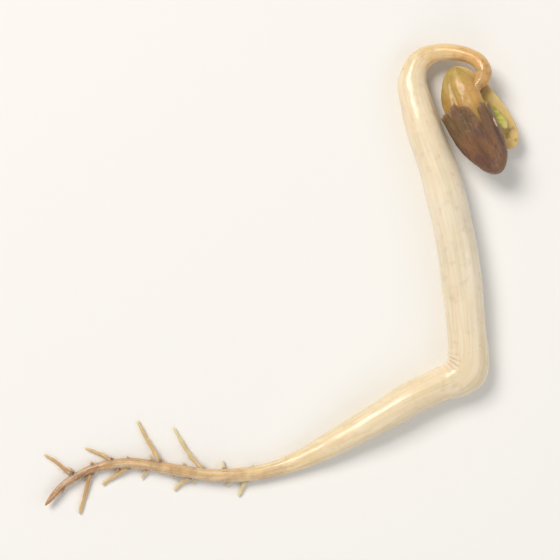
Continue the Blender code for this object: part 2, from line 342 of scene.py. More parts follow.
def lifted(mesh: Mesh, reach: float = 0.35, clearance: float = 0.1, fade: float = 0.2) -> np.ndarray:
    """Return how free each point of a skin in the plan is to carry a hair, from 0 by the surface to 1.

    Args:
        mesh: The skin.
        reach: How far a hair rises from it.
        clearance: The height of a hair's end at which its root begins to be free.
        fade: The further height at which it is free.

    Returns:
        The freedom at each point.
    """
    normals = np.zeros(3 * len(mesh.vertices), dtype=np.float32)
    mesh.vertex_normals.foreach_get("vector", normals)
    return np.clip((spots(mesh)[:, 2] + reach * normals[2::3] - clearance) / fade, 0, 1)


def smooth_step(values: np.ndarray, low: float, high: float) -> np.ndarray:
    """Return 0 below low, 1 above high and a smooth step between, or the reverse if low is higher."""
    share = np.clip((values - low) / (high - low), 0, 1)
    return share * share * (3 - 2 * share)


def bell(values: Any, width: float) -> Any:
    """Return 1 at zero, falling off smoothly over a width."""
    return np.exp(-((values / width) ** 2))


def rings_of(rings: int, sides: int) -> Iterator[tuple[float, np.ndarray, np.ndarray]]:
    """Yield the rings of a closed round skin, from pole to pole.

    Args:
        rings: How many steps lie between the poles.
        sides: How many points a ring has.

    Yields:
        The turn from the first pole, 0 to half a circle, and the cosines and sines round the ring. At a
        pole each of these is one 0.
    """
    angle = 2 * math.pi * (np.arange(sides) + 0.5) / sides
    for k in range(rings + 1):
        is_pole = k in (0, rings)
        yield math.pi * k / rings, *(np.zeros(1) if is_pole else wave(angle) for wave in (np.cos, np.sin))


def half_wave(phase: Any) -> Any:
    """Return a wave between 0 and 1."""
    return 0.5 + 0.5 * np.sin(phase)


def face_outwards(mesh: Mesh) -> Mesh:
    """Turn a closed mesh's faces outwards, by the sign of its volume, and return it."""
    bm = bmesh.new()
    bm.from_mesh(mesh)
    if bm.calc_volume(signed=True) < 0:
        mesh.flip_normals()
    bm.free()
    return mesh


@dataclass
class Loft:
    """A closed skin through rings of points, with values kept at each point.

    A ring of one point is a pole. A first ring that is no pole is closed by a strip across it, as the
    torn rim of a thin wall is.
    """

    name: str
    rings: list[np.ndarray] = field(default_factory=list)
    values: dict[str, list[np.ndarray]] = field(default_factory=dict)

    def add(self, ring: np.ndarray, **values: Any) -> None:
        """Add a ring of along, across and out, and the values at its points.

        The straightened place of each point is kept as "skin", across, out and along, and as "place".
        """
        self.rings.append(ring)
        for name, given in {**values, "skin": ring[:, [1, 2, 0]], "place": ring[:, 0]}.items():
            array = np.asarray(given, dtype=float)
            full = array if array.ndim else np.full(len(ring), array)
            self.values.setdefault(name, []).append(full)

    def faces(self) -> list[tuple[int, ...]]:
        """Return the skin's faces as point numbers."""
        starts = np.concatenate(([0], np.cumsum([len(ring) for ring in self.rings])))
        faces = []
        for start, end, near, far in zip(starts, starts[1:], self.rings, self.rings[1:]):
            span = max(len(near), len(far))
            for i in range(span):
                j = (i + 1) % span
                near_edge = (start + i % len(near), start + j % len(near))
                far_edge = (end + j % len(far), end + i % len(far))
                faces.append(tuple(dict.fromkeys(int(corner) for corner in near_edge + far_edge)))
        rim = len(self.rings[0])
        if rim > 1:
            faces += [(i + 1, i, rim - 1 - i, rim - 2 - i) for i in range(rim // 2 - 1)]
        return faces

    def mesh(self) -> Mesh:
        """Return the skin as a smooth mesh with its faces outwards."""
        mesh = bpy.data.meshes.new(self.name)
        mesh.from_pydata(np.vstack(self.rings).tolist(), [], self.faces())
        set_values(mesh, **{name: np.concatenate(arrays) for name, arrays in self.values.items()})
        mesh.shade_smooth()
        return face_outwards(mesh)


FOLD_SIDE = (0.15, 0.95)


def make_tube_tree() -> NodeTree:
    """Build the geometry nodes that turn a rail into a tube.

    Each point of the rail becomes one ring, square to the line's heading over a short reach, so that
    the rings fan out round a sharp bend and don't cross. A knuckle swells one side of the tube and folds
    the other. A straightened copy of each point's place is kept as "skin": across, up and along.

    Returns:
        The node tree.
    """
    ports = [Port("Rail", "Geometry"), Port("Sides", "Int", 32), Port("Material", "Material")]
    ports += numbers(Flatness=1.0, Heading_Reach=0.2, Knuckle_Place=0.0, Knuckle_Reach=1.0, Knuckle_Swell=0.0)
    ports += numbers(Knuckle_Pinch=0.0, Fold_Depth=0.0, Fold_Pitch=0.5, Fold_Reach=1.0, Pole_Merge=0.0005)
    tube, given, result = new_group("tube along a rail", TreeKind.GEOMETRY, ports, Port("Tube", "Geometry"))
    place = tube.kept("place")
    rail = tube.add("GeometryNodeMeshToCurve", {"Mesh": given["Rail"]})
    ends = []
    for operation in ("ADD", "SUBTRACT"):
        inputs = {"Curves": rail, "Length": tube.math(operation, place, given["Heading Reach"])}
        ends.append(tube.add("GeometryNodeSampleCurve", inputs, mode="LENGTH").outputs["Position"])
    rail = tube.keep(rail, "heading", tube.vector("NORMALIZE", tube.vector("SUBTRACT", *ends)))
    rail = tube.keep(rail, "middle", tube.add("GeometryNodeInputPosition"))
    circle = tube.add("GeometryNodeCurvePrimitiveCircle", {"Resolution": given["Sides"], "Radius": 1.0})
    circle = tube.keep(circle, "ring", tube.add("GeometryNodeInputPosition"))
    shell = tube.add("GeometryNodeCurveToMesh", {"Curve": rail, "Profile Curve": circle})

    ring = tube.add("ShaderNodeSeparateXYZ", {0: tube.kept("ring", "FLOAT_VECTOR")}).outputs
    half = tube.product(tube.kept("width"), 0.5, tube.kept("fullness"))
    offset = tube.math("SUBTRACT", place, given["Knuckle Place"])

    def nearness(reach: Any) -> NodeSocket:
        """Return 1 at the knuckle, falling off over a reach."""
        share = tube.math("DIVIDE", offset, reach)
        return tube.math("EXPONENT", tube.product(share, share, -1.0))

    is_outer = tube.math("LESS_THAN", ring["X"], 0.0)
    swell = tube.product(is_outer, given["Knuckle Swell"])
    pinch = tube.product(tube.math("SUBTRACT", 1.0, is_outer), given["Knuckle Pinch"])
    gain = tube.product(nearness(given["Knuckle Reach"]), tube.math("SUBTRACT", swell, pinch))
    across = tube.product(ring["X"], half, tube.math("ADD", gain, 1.0))
    wave = tube.math("DIVIDE", tube.product(offset, 2 * math.pi), given["Fold Pitch"])
    crease = tube.math("POWER", tube.math("MULTIPLY_ADD", tube.math("COSINE", wave), 0.5, 0.5), 2.0)
    folds = tube.product(crease, tube.ease(ring["X"], *FOLD_SIDE), nearness(given["Fold Reach"]))
    across = tube.math("SUBTRACT", across, tube.product(folds, given["Fold Depth"]))
    rise = tube.product(ring["Y"], half, given["Flatness"])

    heading = tube.kept("heading", "FLOAT_VECTOR")
    side = tube.vector("NORMALIZE", tube.vector("CROSS_PRODUCT", heading, (0.0, 0.0, 1.0)))
    above = tube.vector("CROSS_PRODUCT", side, heading)
    reach = tube.vector("ADD", tube.scaled(side, across), tube.scaled(above, rise))
    spot = tube.vector("ADD", tube.kept("middle", "FLOAT_VECTOR"), reach)
    # The folds' depth is kept as crease; the stem's finish paints shade into the folds with it.
    shell = tube.keep(shell, "crease", folds, "FLOAT")
    shell = tube.keep(shell, "skin", tube.add("ShaderNodeCombineXYZ", {"X": across, "Y": rise, "Z": place}))
    shell = tube.add("GeometryNodeSetPosition", {"Geometry": shell, "Position": spot})
    shell = tube.add("GeometryNodeMergeByDistance", {"Geometry": shell, "Distance": given["Pole Merge"]})
    for name in ("heading", "middle", "ring"):
        shell = tube.add("GeometryNodeRemoveAttribute", {"Geometry": shell, "Name": name})
    tube.feed(result, tube.finished(shell, given["Material"]))
    return tube.tree


RELIEF_LAYERS = ("Lump", "Streak", "Crumple")
LAYER_SEED_STEP = 3.7


def make_relief_tree() -> NodeTree:
    """Build the geometry nodes that raise soft lumps, long streaks and a fine crumple out of a skin.

    They follow the "skin" value, so that streaks run along the piece, and "relief" says how much of
    them each point takes.

    Returns:
        The node tree.
    """
    surface = Port("Geometry", "Geometry")
    ports = [surface, Port("Material", "Material")]
    for name in RELIEF_LAYERS:
        ports += [Port(f"{name} Size", value=1.0), Port(f"{name} Depth", value=0.02)]
    ports += numbers(Streak_Stretch=12.0, Seed=0.0)
    relief, given, result = new_group("relief on a skin", TreeKind.GEOMETRY, ports, surface)
    skin = relief.kept("skin", "FLOAT_VECTOR")
    squeeze = relief.math("DIVIDE", 1.0, given["Streak Stretch"])
    narrow = relief.add("ShaderNodeCombineXYZ", {"X": 1.0, "Y": 1.0, "Z": squeeze})
    total = 0.0
    for number, name in enumerate(RELIEF_LAYERS):
        vector = relief.vector("MULTIPLY", skin, narrow) if name == "Streak" else skin
        scale = relief.math("DIVIDE", 1.0, given[f"{name} Size"])
        noise = relief.noise(vector, scale, relief.math("ADD", given["Seed"], LAYER_SEED_STEP * number))
        height = relief.product(relief.math("MULTIPLY_ADD", noise, 2.0, -1.0), given[f"{name} Depth"])
        total = relief.math("ADD", total, height)
    lift = relief.scaled(relief.add("GeometryNodeInputNormal"), relief.product(total, relief.kept("relief")))
    moved = relief.add("GeometryNodeSetPosition", {"Geometry": given["Geometry"], "Offset": lift})
    relief.feed(result, relief.finished(moved, given["Material"]))
    return relief.tree


HAIR_SIDES = 3
HAIR_RINGS = 5
POINTS_PER_HAIR = HAIR_SIDES * HAIR_RINGS
HAIR_CURVE = {"Start": (0, 0, -0.06), "Middle": (0, 0, 0.55), "End": (0.38, 0, 0.92)}
HAIR_END_WIDTH = 0.1
HAIR_SIZES = (0.45, 1.0)


def make_hair_tree() -> NodeTree:
    """Build the geometry nodes that grow fine curved hairs out of a skin, thick where "fuzz" is high.

    Returns:
        The node tree.
    """
    ports = [Port("Skin", "Geometry"), Port("Seed", "Int", 1), Port("Material", "Material")]
    ports += numbers(Density=10.0, Length=0.3, Width=0.02, Lean=0.6)
    hair, given, result = new_group("fine hairs", TreeKind.GEOMETRY, ports, Port("Hairs", "Geometry"))
    density = hair.product(given["Density"], hair.kept("fuzz"))
    inputs = {"Mesh": given["Skin"], "Density": density, "Seed": given["Seed"]}
    roots = hair.add("GeometryNodeDistributePointsOnFaces", inputs, distribute_method="RANDOM").outputs
    strand = hair.add("GeometryNodeCurveQuadraticBezier", {"Resolution": HAIR_RINGS - 1, **HAIR_CURVE})
    taper = hair.math("SUBTRACT", 1.0, hair.add("GeometryNodeSplineParameter").outputs["Factor"])
    radius = hair.math("MULTIPLY_ADD", taper, 1 - HAIR_END_WIDTH, HAIR_END_WIDTH)
    strand = hair.add("GeometryNodeSetCurveRadius", {"Curve": strand, "Radius": radius})
    thickness = hair.math("DIVIDE", hair.product(given["Width"], 0.5), given["Length"])
    profile = hair.add("GeometryNodeCurvePrimitiveCircle", {"Resolution": HAIR_SIDES, "Radius": thickness})
    inputs = {"Curve": strand, "Profile Curve": profile, "Fill Caps": True}
    strand = hair.add("GeometryNodeCurveToMesh", inputs)
    swing = hair.add("FunctionNodeRandomValue", {"Seed": given["Seed"]}, data_type="FLOAT_VECTOR")
    for index, sign in ((0, -1.0), (1, 1.0)):
        angle = hair.product(given["Lean"], sign)
        corner = hair.add("ShaderNodeCombineXYZ", {"X": angle, "Y": angle, "Z": math.pi * sign})
        hair.feed(swing.inputs[index], corner)
    inputs = {"Rotation": roots["Rotation"], "Rotate By": hair.add("FunctionNodeEulerToRotation", {0: swing})}
    rotation = hair.add("FunctionNodeRotateRotation", inputs, rotation_space="LOCAL")
    inputs = {2: HAIR_SIZES[0], 3: HAIR_SIZES[1], "Seed": given["Seed"]}
    sizes = hair.add("FunctionNodeRandomValue", inputs, data_type="FLOAT")
    scale = hair.product(sizes.outputs[1], given["Length"])
    copies = {"Points": roots["Points"], "Instance": strand, "Rotation": rotation, "Scale": scale}
    hair.feed(result, hair.finished(hair.add("GeometryNodeInstanceOnPoints", copies), given["Material"]))
    return hair.tree


FINE_DETAIL = 3.0
PATCH_DETAIL = 4.0
SMALLEST_SPECK = 0.3
SPECK_CORE = 0.35
GRAIN_SEED = 1.3


def make_patterns() -> dict[Pattern, NodeTree]:
    """Build the shader groups that the finishes share.

    Returns:
        Soft streaks along a piece, uneven patches, and round specks in a share of their cells, each as a
        mask, and the height of the fine cells and pores of a skin.
    """

    def start(pattern: Pattern, **inputs: float) -> tuple[Wiring, Any, NodeSocket]:
        """Start the group of a pattern, which reads a vector and some numbers."""
        ports = [Port("Vector", "Vector"), *numbers(**inputs)]
        return new_group(pattern.value, TreeKind.SHADER, ports, Port("Value"))

    streak, given, result = start(Pattern.STREAKS, Pitch=0.3, Stretch=12.0, Low=0.45, High=0.62, Seed=0.0)
    narrow = streak.math("DIVIDE", 1.0, given["Pitch"])
    squeeze = streak.math("DIVIDE", narrow, given["Stretch"])
    scale = streak.add("ShaderNodeCombineXYZ", {"X": narrow, "Y": narrow, "Z": squeeze})
    vectors = streak.vector("MULTIPLY", given["Vector"], scale)
    value = streak.noise(vectors, 1.0, given["Seed"], FINE_DETAIL)
    streak.feed(result, streak.ease(value, given["Low"], given["High"]))

    patch, given, result = start(Pattern.MOTTLE, Size=1.5, Low=0.42, High=0.62, Seed=0.0)
    scale = patch.math("DIVIDE", 1.0, given["Size"])
    value = patch.noise(given["Vector"], scale, given["Seed"], PATCH_DETAIL)
    patch.feed(result, patch.ease(value, given["Low"], given["High"]))

    speck, given, result = start(Pattern.SPECKS, Pitch=0.6, Radius=0.2, Share=0.3)
    inputs = {"Vector": given["Vector"], "Scale": speck.math("DIVIDE", 1.0, given["Pitch"])}
    cells = speck.add("ShaderNodeTexVoronoi", inputs).outputs
    draw = speck.add("ShaderNodeSeparateColor", {0: cells["Color"]}).outputs
    size = speck.math("MULTIPLY_ADD", draw["Green"], 1 - SMALLEST_SPECK, SMALLEST_SPECK)
    radius = speck.product(given["Radius"], size)
    dot = speck.ease(cells["Distance"], radius, speck.product(radius, SPECK_CORE))
    speck.feed(result, speck.product(dot, speck.math("LESS_THAN", draw["Red"], given["Share"])))

    grain, given, result = start(Pattern.GRAIN, Size=0.12, Pores=0.3)
    scale = grain.math("DIVIDE", 1.0, given["Size"])
    cells = grain.add("ShaderNodeTexVoronoi", {"Vector": given["Vector"], "Scale": scale}).outputs
    pores = grain.product(cells["Distance"], given["Pores"])
    noise = grain.noise(given["Vector"], scale, GRAIN_SEED, FINE_DETAIL)
    grain.feed(result, grain.math("ADD", noise, pores))

    return dict(zip(Pattern, (streak.tree, patch.tree, speck.tree, grain.tree)))


@dataclass(frozen=True)
class Drawn:
    """A mask that a shared pattern draws, with the pattern's own settings."""

    pattern: Pattern
    settings: tuple[tuple[str, float], ...]


@dataclass(frozen=True)
class Kept:
    """A mask read from a value kept on the mesh."""

    name: str


def streaks(pitch: float, stretch: float, low: float = 0.45, high: float = 0.62, seed: float = 0.0) -> Drawn:
    """Return a mask of soft streaks along a piece."""
    settings = (("Pitch", pitch), ("Stretch", stretch), ("Low", low), ("High", high), ("Seed", seed))
    return Drawn(Pattern.STREAKS, settings)


def mottle(size: float, low: float = 0.42, high: float = 0.62, seed: float = 0.0) -> Drawn:
    """Return a mask of soft, uneven patches."""
    return Drawn(Pattern.MOTTLE, (("Size", size), ("Low", low), ("High", high), ("Seed", seed)))


def specks(pitch: float, radius: float, share: float) -> Drawn:
    """Return a mask of small round specks, in a share of the cells that are a pitch apart."""
    return Drawn(Pattern.SPECKS, (("Pitch", pitch), ("Radius", radius), ("Share", share)))


@dataclass(frozen=True)
class Wash:
    """A thin layer of colour over those below it.

    Its strength is its share, plus the gain times a value kept on the mesh, wherever the mask is full.
    """

    colour: Three
    share: float
    mask: Drawn | Kept
    gain: float = 0.0
    zone: str = ""
    mode: str = "MIX"


@dataclass(frozen=True)
class Finish:
    """A procedural material: a ground colour, washes over it, a changing gloss and a fine relief.

    The ground is a ramp over a value kept on the mesh, "place" unless another is named. The fine relief
    is cells with pores, and ribs of some height where a mask is full. It is deeper by a gain in a zone.
    Colours are red, green and blue as on a screen.
    """

    ground: tuple[tuple[float, Three], ...]
    washes: tuple[Wash, ...]
    gloss: Pair
    gloss_mask: Drawn
    grain: Pair
    depth: float
    constants: dict[str, Any]
    ribs: tuple[tuple[float, Drawn], ...] = ()
    deeper: tuple[str, float] | None = None
    ground_value: str = "place"
    is_on_skin: bool = True

    def build(self, name: str, patterns: dict[Pattern, NodeTree]) -> Material:
        """Return the material.

        Args:
            name: Its name.
            patterns: The shared shader groups.

        Returns:
            The material.
        """
        material = bpy.data.materials.new(name)
        material.use_nodes = True
        shader = material.node_tree.nodes["Principled BSDF"].inputs
        for socket, value in self.constants.items():
            shader[socket].default_value = value
        wiring = Wiring(material.node_tree)
        if self.is_on_skin:
            skin = wiring.attribute("skin", "Vector")
        else:
            skin = wiring.scaled(wiring.add("ShaderNodeTexCoord").outputs["Object"], 1 / MM)

        drawn: dict[Drawn | Kept, NodeSocket] = {}

        def draw(mask: Drawn | Kept) -> NodeSocket:
            """Return a mask's value, made once for all its uses."""
            if mask not in drawn and isinstance(mask, Kept):
                drawn[mask] = wiring.attribute(mask.name)
            elif mask not in drawn:
                inputs = {"Vector": skin, **dict(mask.settings)}
                node = wiring.add("ShaderNodeGroup", inputs, node_tree=patterns[mask.pattern])
                drawn[mask] = node.outputs[0]
            return drawn[mask]

        length = self.ground[-1][0]
        colour = screen(*self.ground[0][1])
        if length > 0:
            share = wiring.math("DIVIDE", draw(Kept(self.ground_value)), length)
            colour = wiring.ramp(share, [(place / length, screen(*tint)) for place, tint in self.ground])
        for wash in self.washes:
            strength = wash.share
            if wash.zone:
                strength = wiring.math("MULTIPLY_ADD", draw(Kept(wash.zone)), wash.gain, wash.share)
            strength = wiring.product(draw(wash.mask), strength)
            colour = wiring.blend(strength, colour, screen(*wash.colour), wash.mode)
        wiring.feed(shader["Base Color"], colour)
        smooth, rougher = self.gloss
        wiring.feed(shader["Roughness"], wiring.math("MULTIPLY_ADD", draw(self.gloss_mask), rougher, smooth))
        height = draw(Drawn(Pattern.GRAIN, tuple(zip(("Size", "Pores"), self.grain))))
        for weight, mask in self.ribs:
            height = wiring.math("MULTIPLY_ADD", draw(mask), weight, height)
        if self.deeper:
            zone, gain = self.deeper
            height = wiring.product(height, wiring.math("MULTIPLY_ADD", draw(Kept(zone)), gain, 1.0))
        bump = {"Height": height, "Distance": self.depth * MM, "Strength": 1.0}
        wiring.feed(shader["Normal"], wiring.add("ShaderNodeBump", bump))
        return material


def flesh(weight: float, radius: Three, reach: float, ior: float) -> dict[str, Any]:
    """Return a shader's constants for flesh that light spreads in, over a reach in millimetres."""
    spread = {"Subsurface Weight": weight, "Subsurface Radius": radius, "Subsurface Scale": reach * MM}
    return {**spread, "IOR": ior}


def make_finishes(route: "StemRoute", bean: "Bean") -> dict[Look, Finish]:
    """Return the sprout's finishes.

    Args:
        route: The stem's line, whose length, elbow and root the stem's colours follow.
        bean: The half bean, whose length the seed leaves' colours follow.

    Returns:
        Pearly, wet flesh for the stem, golden at the neck, cream down its length, with painted shade in
        the elbow's folds, and tan with rusty streaks in the root. Waxy golden seed leaves, olive in
        patches and pale inside. A papery, mauve brown seed coat with painted shade in its folds, and tan
        at its torn rim. A chalky scar. A tender, yellow green bud, and pale hairs.
    """
    # Rust brown for the root's real rusty marks, and also for the painted shade in the elbow's folds.
    rust_and_fold_shade = (150, 96, 48)
    strands = streaks(0.15, 36.0, seed=5.0)
    patches = mottle(1.3, 0.46, 0.66)
    stem = Finish(
        ground=(
            (0.0, (212, 164, 98)),
            (2.4, (226, 182, 118)),
            (5.6, (236, 206, 152)),
            (9.5, (240, 222, 190)),
            (route.elbow - 10.0, (240, 226, 202)),
            (route.elbow, (240, 222, 190)),
            (route.root_start - 6.5, (238, 218, 180)),
            (route.root_start, (232, 206, 160)),
            (route.root_start + 8.5, (218, 182, 132)),
            (route.length, (184, 136, 88)),
        ),
        washes=(
            Wash((206, 208, 176), 0.22, streaks(1.1, 9.0, seed=2.0), mode="MULTIPLY"),
            Wash((250, 243, 224), 0.34, strands, -0.24, "golden"),
            Wash(rust_and_fold_shade, 0.04, patches, 0.28, "rooty", "MULTIPLY"),
            Wash(rust_and_fold_shade, 0.03, streaks(0.11, 9.0, 0.58, 0.70, 9.0), 0.40, "rooty", "MULTIPLY"),
            Wash(rust_and_fold_shade, 0.12, mottle(0.6, 0.52, 0.72, 4.0), 0.25, "golden", "MULTIPLY"),
            Wash(rust_and_fold_shade, 0.55, specks(0.9, 0.13, 0.16)),
            # Painted shade: the rust brown darkens the folds inside the elbow, by the kept crease depth.
            Wash(rust_and_fold_shade, 0.34, Kept("crease"), mode="MULTIPLY"),
            Wash((128, 78, 40), 0.62, Kept("stain"), mode="MULTIPLY"),
        ),
        gloss=(0.30, 0.12),
        gloss_mask=patches,
        grain=(0.13, 0.2),
        depth=0.007,
        ribs=((0.6, strands),),
        deeper=("rooty", 2.2),
        constants={
            **flesh(0.55, (1.0, 0.74, 0.46), 1.1, 1.40),
            "Coat Weight": 0.60,
            "Coat Roughness": 0.09,
            "Coat IOR": 1.40,
        },
    )
    pale = (234, 208, 142)
    brown = (112, 70, 36)
    bloom = mottle(1.9, 0.40, 0.68)
    veins = streaks(0.34, 9.0, seed=4.0)
    seed_leaf = Finish(
        ground=(
            (0.0, (207, 168, 92)),
            (0.35 * bean.length, (194, 147, 72)),
            (0.75 * bean.length, (194, 147, 72)),
            (bean.length, (172, 124, 62)),
        ),
        washes=(
            Wash((150, 134, 62), 0.55, bloom),
            Wash(pale, 0.22, veins),
            Wash(pale, 0.72, Kept("inside")),
            Wash((214, 167, 101), 0.92, Kept("stalk")),
            Wash(brown, 0.20, mottle(0.8, 0.55, 0.74, 7.0), 0.5, "tipward"),
            Wash(brown, 0.50, specks(0.45, 0.2, 0.3)),
        ),
        gloss=(0.40, 0.14),
        gloss_mask=bloom,
        grain=(0.16, 0.5),
        depth=0.014,
        ribs=((0.5, veins),),
        constants={
            **flesh(0.22, (1.0, 0.62, 0.25), 0.6, 1.42),
            "Coat Weight": 0.35,
            "Coat Roughness": 0.16,
        },
    )
    # Dark brown for the fine lines, and for the painted shade in the folds.
    dark = (56, 36, 26)
    tan = (186, 146, 98)
    clouds = mottle(1.6, seed=3.0)
    lines = streaks(0.14, 12.0, 0.5, 0.66)
    coat = Finish(
        ground=((0.0, (138, 98, 66)),),
        washes=(
            Wash((120, 80, 66), 1.0, clouds),
            Wash((108, 90, 50), 0.70, mottle(2.4, 0.5, 0.7, 11.0)),
            Wash(dark, 0.35, lines),
            # Painted shade in the coat's folds.
            Wash(dark, 0.75, Kept("fold")),
            Wash(tan, 0.22, specks(0.4, 0.3, 0.25)),
            Wash(tan, 0.85, Kept("rim")),
        ),
        gloss=(0.34, 0.16),
        gloss_mask=clouds,
        grain=(0.11, 0.8),
        depth=0.018,
        ribs=((-0.8, lines),),
        constants={
            **flesh(0.08, (1.0, 0.5, 0.3), 0.3, 1.45),
            "Coat Weight": 0.40,
            "Coat Roughness": 0.20,
        },
    )
    umber = (92, 62, 40)
    dust = mottle(0.25, 0.4, 0.7)
    scar = Finish(
        ground=((0.0, (214, 198, 166)),),
        washes=(Wash(umber, 0.35, dust), Wash(umber, 1.0, Kept("slit"))),
        gloss=(0.60, 0.15),
        gloss_mask=dust,
        grain=(0.06, 0.6),
        depth=0.010,
        constants={"IOR": 1.4, "Specular IOR Level": 0.3},
    )
    shades = mottle(0.7)
    bud = Finish(
        ground=((0.0, (234, 222, 160)), (1.0, (196, 192, 96))),
        ground_value="blade",
        washes=(
            Wash((164, 158, 66), 0.0, shades, 1.0, "blade"),
            Wash((232, 222, 150), 0.75, Kept("vein")),
            Wash((178, 134, 70), 0.50, Kept("edge")),
        ),
        gloss=(0.44, 0.12),
        gloss_mask=shades,
        grain=(0.08, 0.4),
        depth=0.010,
        constants={
            **flesh(0.25, (0.9, 1.0, 0.3), 0.3, 1.4),
            "Sheen Weight": 0.15,
            "Sheen Roughness": 0.4,
        },
    )
    tint = mottle(1.0)
    hair = Finish(
        ground=((0.0, (252, 246, 230)),),
        washes=(Wash((240, 222, 186), 1.0, tint),),
        gloss=(0.40, 0.20),
        gloss_mask=tint,
        grain=(0.05, 0.3),
        depth=0.002,
        is_on_skin=False,
        constants=flesh(0.8, (1.0, 0.94, 0.86), 0.05, 1.4),
    )
    return dict(zip(Look, (stem, seed_leaf, bud, coat, scar, hair)))


@dataclass(frozen=True)
class Relief:
    """How wide and how high a skin's lumps, lengthwise streaks and crumple are, and how long the streaks."""

    lump: Pair
    streak: Pair
    crumple: Pair
    stretch: float
    seed: float

    def settings(self) -> dict[str, float]:
        """Return the values for the relief tree's inputs."""
        values = {"Streak Stretch": self.stretch, "Seed": self.seed}
        for name, (size, depth) in zip(RELIEF_LAYERS, (self.lump, self.streak, self.crumple)):
            values[f"{name} Size"] = size
            values[f"{name} Depth"] = depth
        return values


@dataclass(frozen=True)
class Fuzz:
    """How thick, long, wide and wild the hairs on a skin are, in hairs per square mm and in mm."""

    density: float
    length: float
    width: float
    seed: int
    lean: float = 0.8

    def settings(self) -> dict[str, float]:
        """Return the values for the hair tree's inputs."""
        return {name.title(): value for name, value in vars(self).items()}


@dataclass(frozen=True)
class Workshop:
    """What every piece is made with: the node trees, the finishes, and where the plan and the head lie."""

    tube: NodeTree
    relief: NodeTree
    hair: NodeTree
    finishes: dict[Look, Material]
    plan: Matrix
    head: Matrix

    def roll(self, rail: Mesh, look: Look, **settings: float) -> Mesh:
        """Return a tube along a rail. A setting's name has _ for each space."""
        named = {name.replace("_", " "): value for name, value in settings.items()}
        return grow(rail, self.tube, {**named, "Material": self.finishes[look]})

    def carve(self, mesh: Mesh, relief: Relief, look: Look) -> Mesh:
        """Return a skin with relief in it."""
        return grow(mesh, self.relief, {**relief.settings(), "Material": self.finishes[look]})

    def comb(self, mesh: Mesh, fuzz: Fuzz) -> Mesh:
        """Return the hairs on a skin, which stays as it is."""
        skin = mesh.copy()
        face_outwards(skin)
        return grow(skin, self.hair, {**fuzz.settings(), "Material": self.finishes[Look.HAIR]})

    def deliver(self, name: str, mesh: Mesh, place: Matrix, look: Look, slot: Slot, *nodes: str) -> None:
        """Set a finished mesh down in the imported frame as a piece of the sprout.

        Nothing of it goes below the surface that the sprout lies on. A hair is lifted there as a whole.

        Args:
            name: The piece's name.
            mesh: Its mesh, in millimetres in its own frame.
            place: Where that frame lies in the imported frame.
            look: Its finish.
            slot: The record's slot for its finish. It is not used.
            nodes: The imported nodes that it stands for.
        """
        mesh.transform(place)
        points = spots(mesh).reshape(-1, POINTS_PER_HAIR if look is Look.HAIR else 1, 3)
        points[:, :, 2] -= np.minimum(points[:, :, 2].min(axis=1, keepdims=True), 0)
        mesh.vertices.foreach_set("co", points.ravel())
        face_outwards(mesh)
        mesh.materials.clear()
        mesh.materials.append(self.finishes[look])
        mesh.shade_smooth()
        mesh.name = name
        piece = put_in_scene(name, mesh)
        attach(piece, "root")
        if nodes:
            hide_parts(*nodes)
        LOG.info("%s: %d faces", name, len(mesh.polygons))


@dataclass(frozen=True)
class Station:
    """A place on a middle line: plan position, lift off the surface and width."""

    x: float
    y: float
    lift: float
    width: float


STEM_FLATNESS = 0.95

# The line's stations from the neck's end to the root's tip: x, y, lift and width.
NECK = (
    (1.02, 23.22, 1.98, 1.30),
    (1.36, 23.98, 1.92, 1.20),
    (1.06, 24.84, 1.72, 1.18),
    (0.06, 25.50, 1.38, 1.20),
    (-1.20, 25.80, 0.96, 1.26),
    (-2.50, 25.76, 0.55, 1.46),
    (-3.60, 25.24, 0.20, 1.82),
)
STEM = (
    (-4.27, 23.70, -0.04, 2.32),
    (-3.98, 21.80, -0.02, 2.62),
    (-3.22, 19.20, 0.10, 2.90),
    (-1.95, 15.40, 0.26, 3.12),
    (-1.05, 11.45, 0.30, 3.24),
    (-0.42, 7.55, 0.22, 3.22),
    (-0.02, 4.00, 0.06, 3.20),
)
ELBOW = (
    (0.12, 1.45, -0.17, 3.16),
    (-0.12, 0.24, -0.20, 3.06),
    (-1.00, -0.52, -0.17, 2.90),
)
FOOT = (
    (-2.20, -1.10, -0.04, 2.74),
    (-4.40, -2.16, 0.10, 2.66),
    (-6.60, -3.42, 0.14, 2.54),
    (-9.00, -4.86, 0.06, 2.30),
    (-11.20, -6.10, -0.08, 1.98),
    (-13.00, -7.02, -0.10, 1.62),
)
ROOT = (
    (-15.20, -7.86, -0.05, 1.30),
    (-17.90, -8.38, 0.12, 1.12),
    (-21.00, -8.36, 0.30, 1.00),
    (-24.20, -7.86, 0.28, 0.90),
    (-27.30, -7.46, 0.12, 0.80),
    (-30.20, -7.92, 0.06, 0.70),
    (-32.60, -9.20, 0.20, 0.58),
    (-34.10, -10.90, 0.42, 0.44),
)


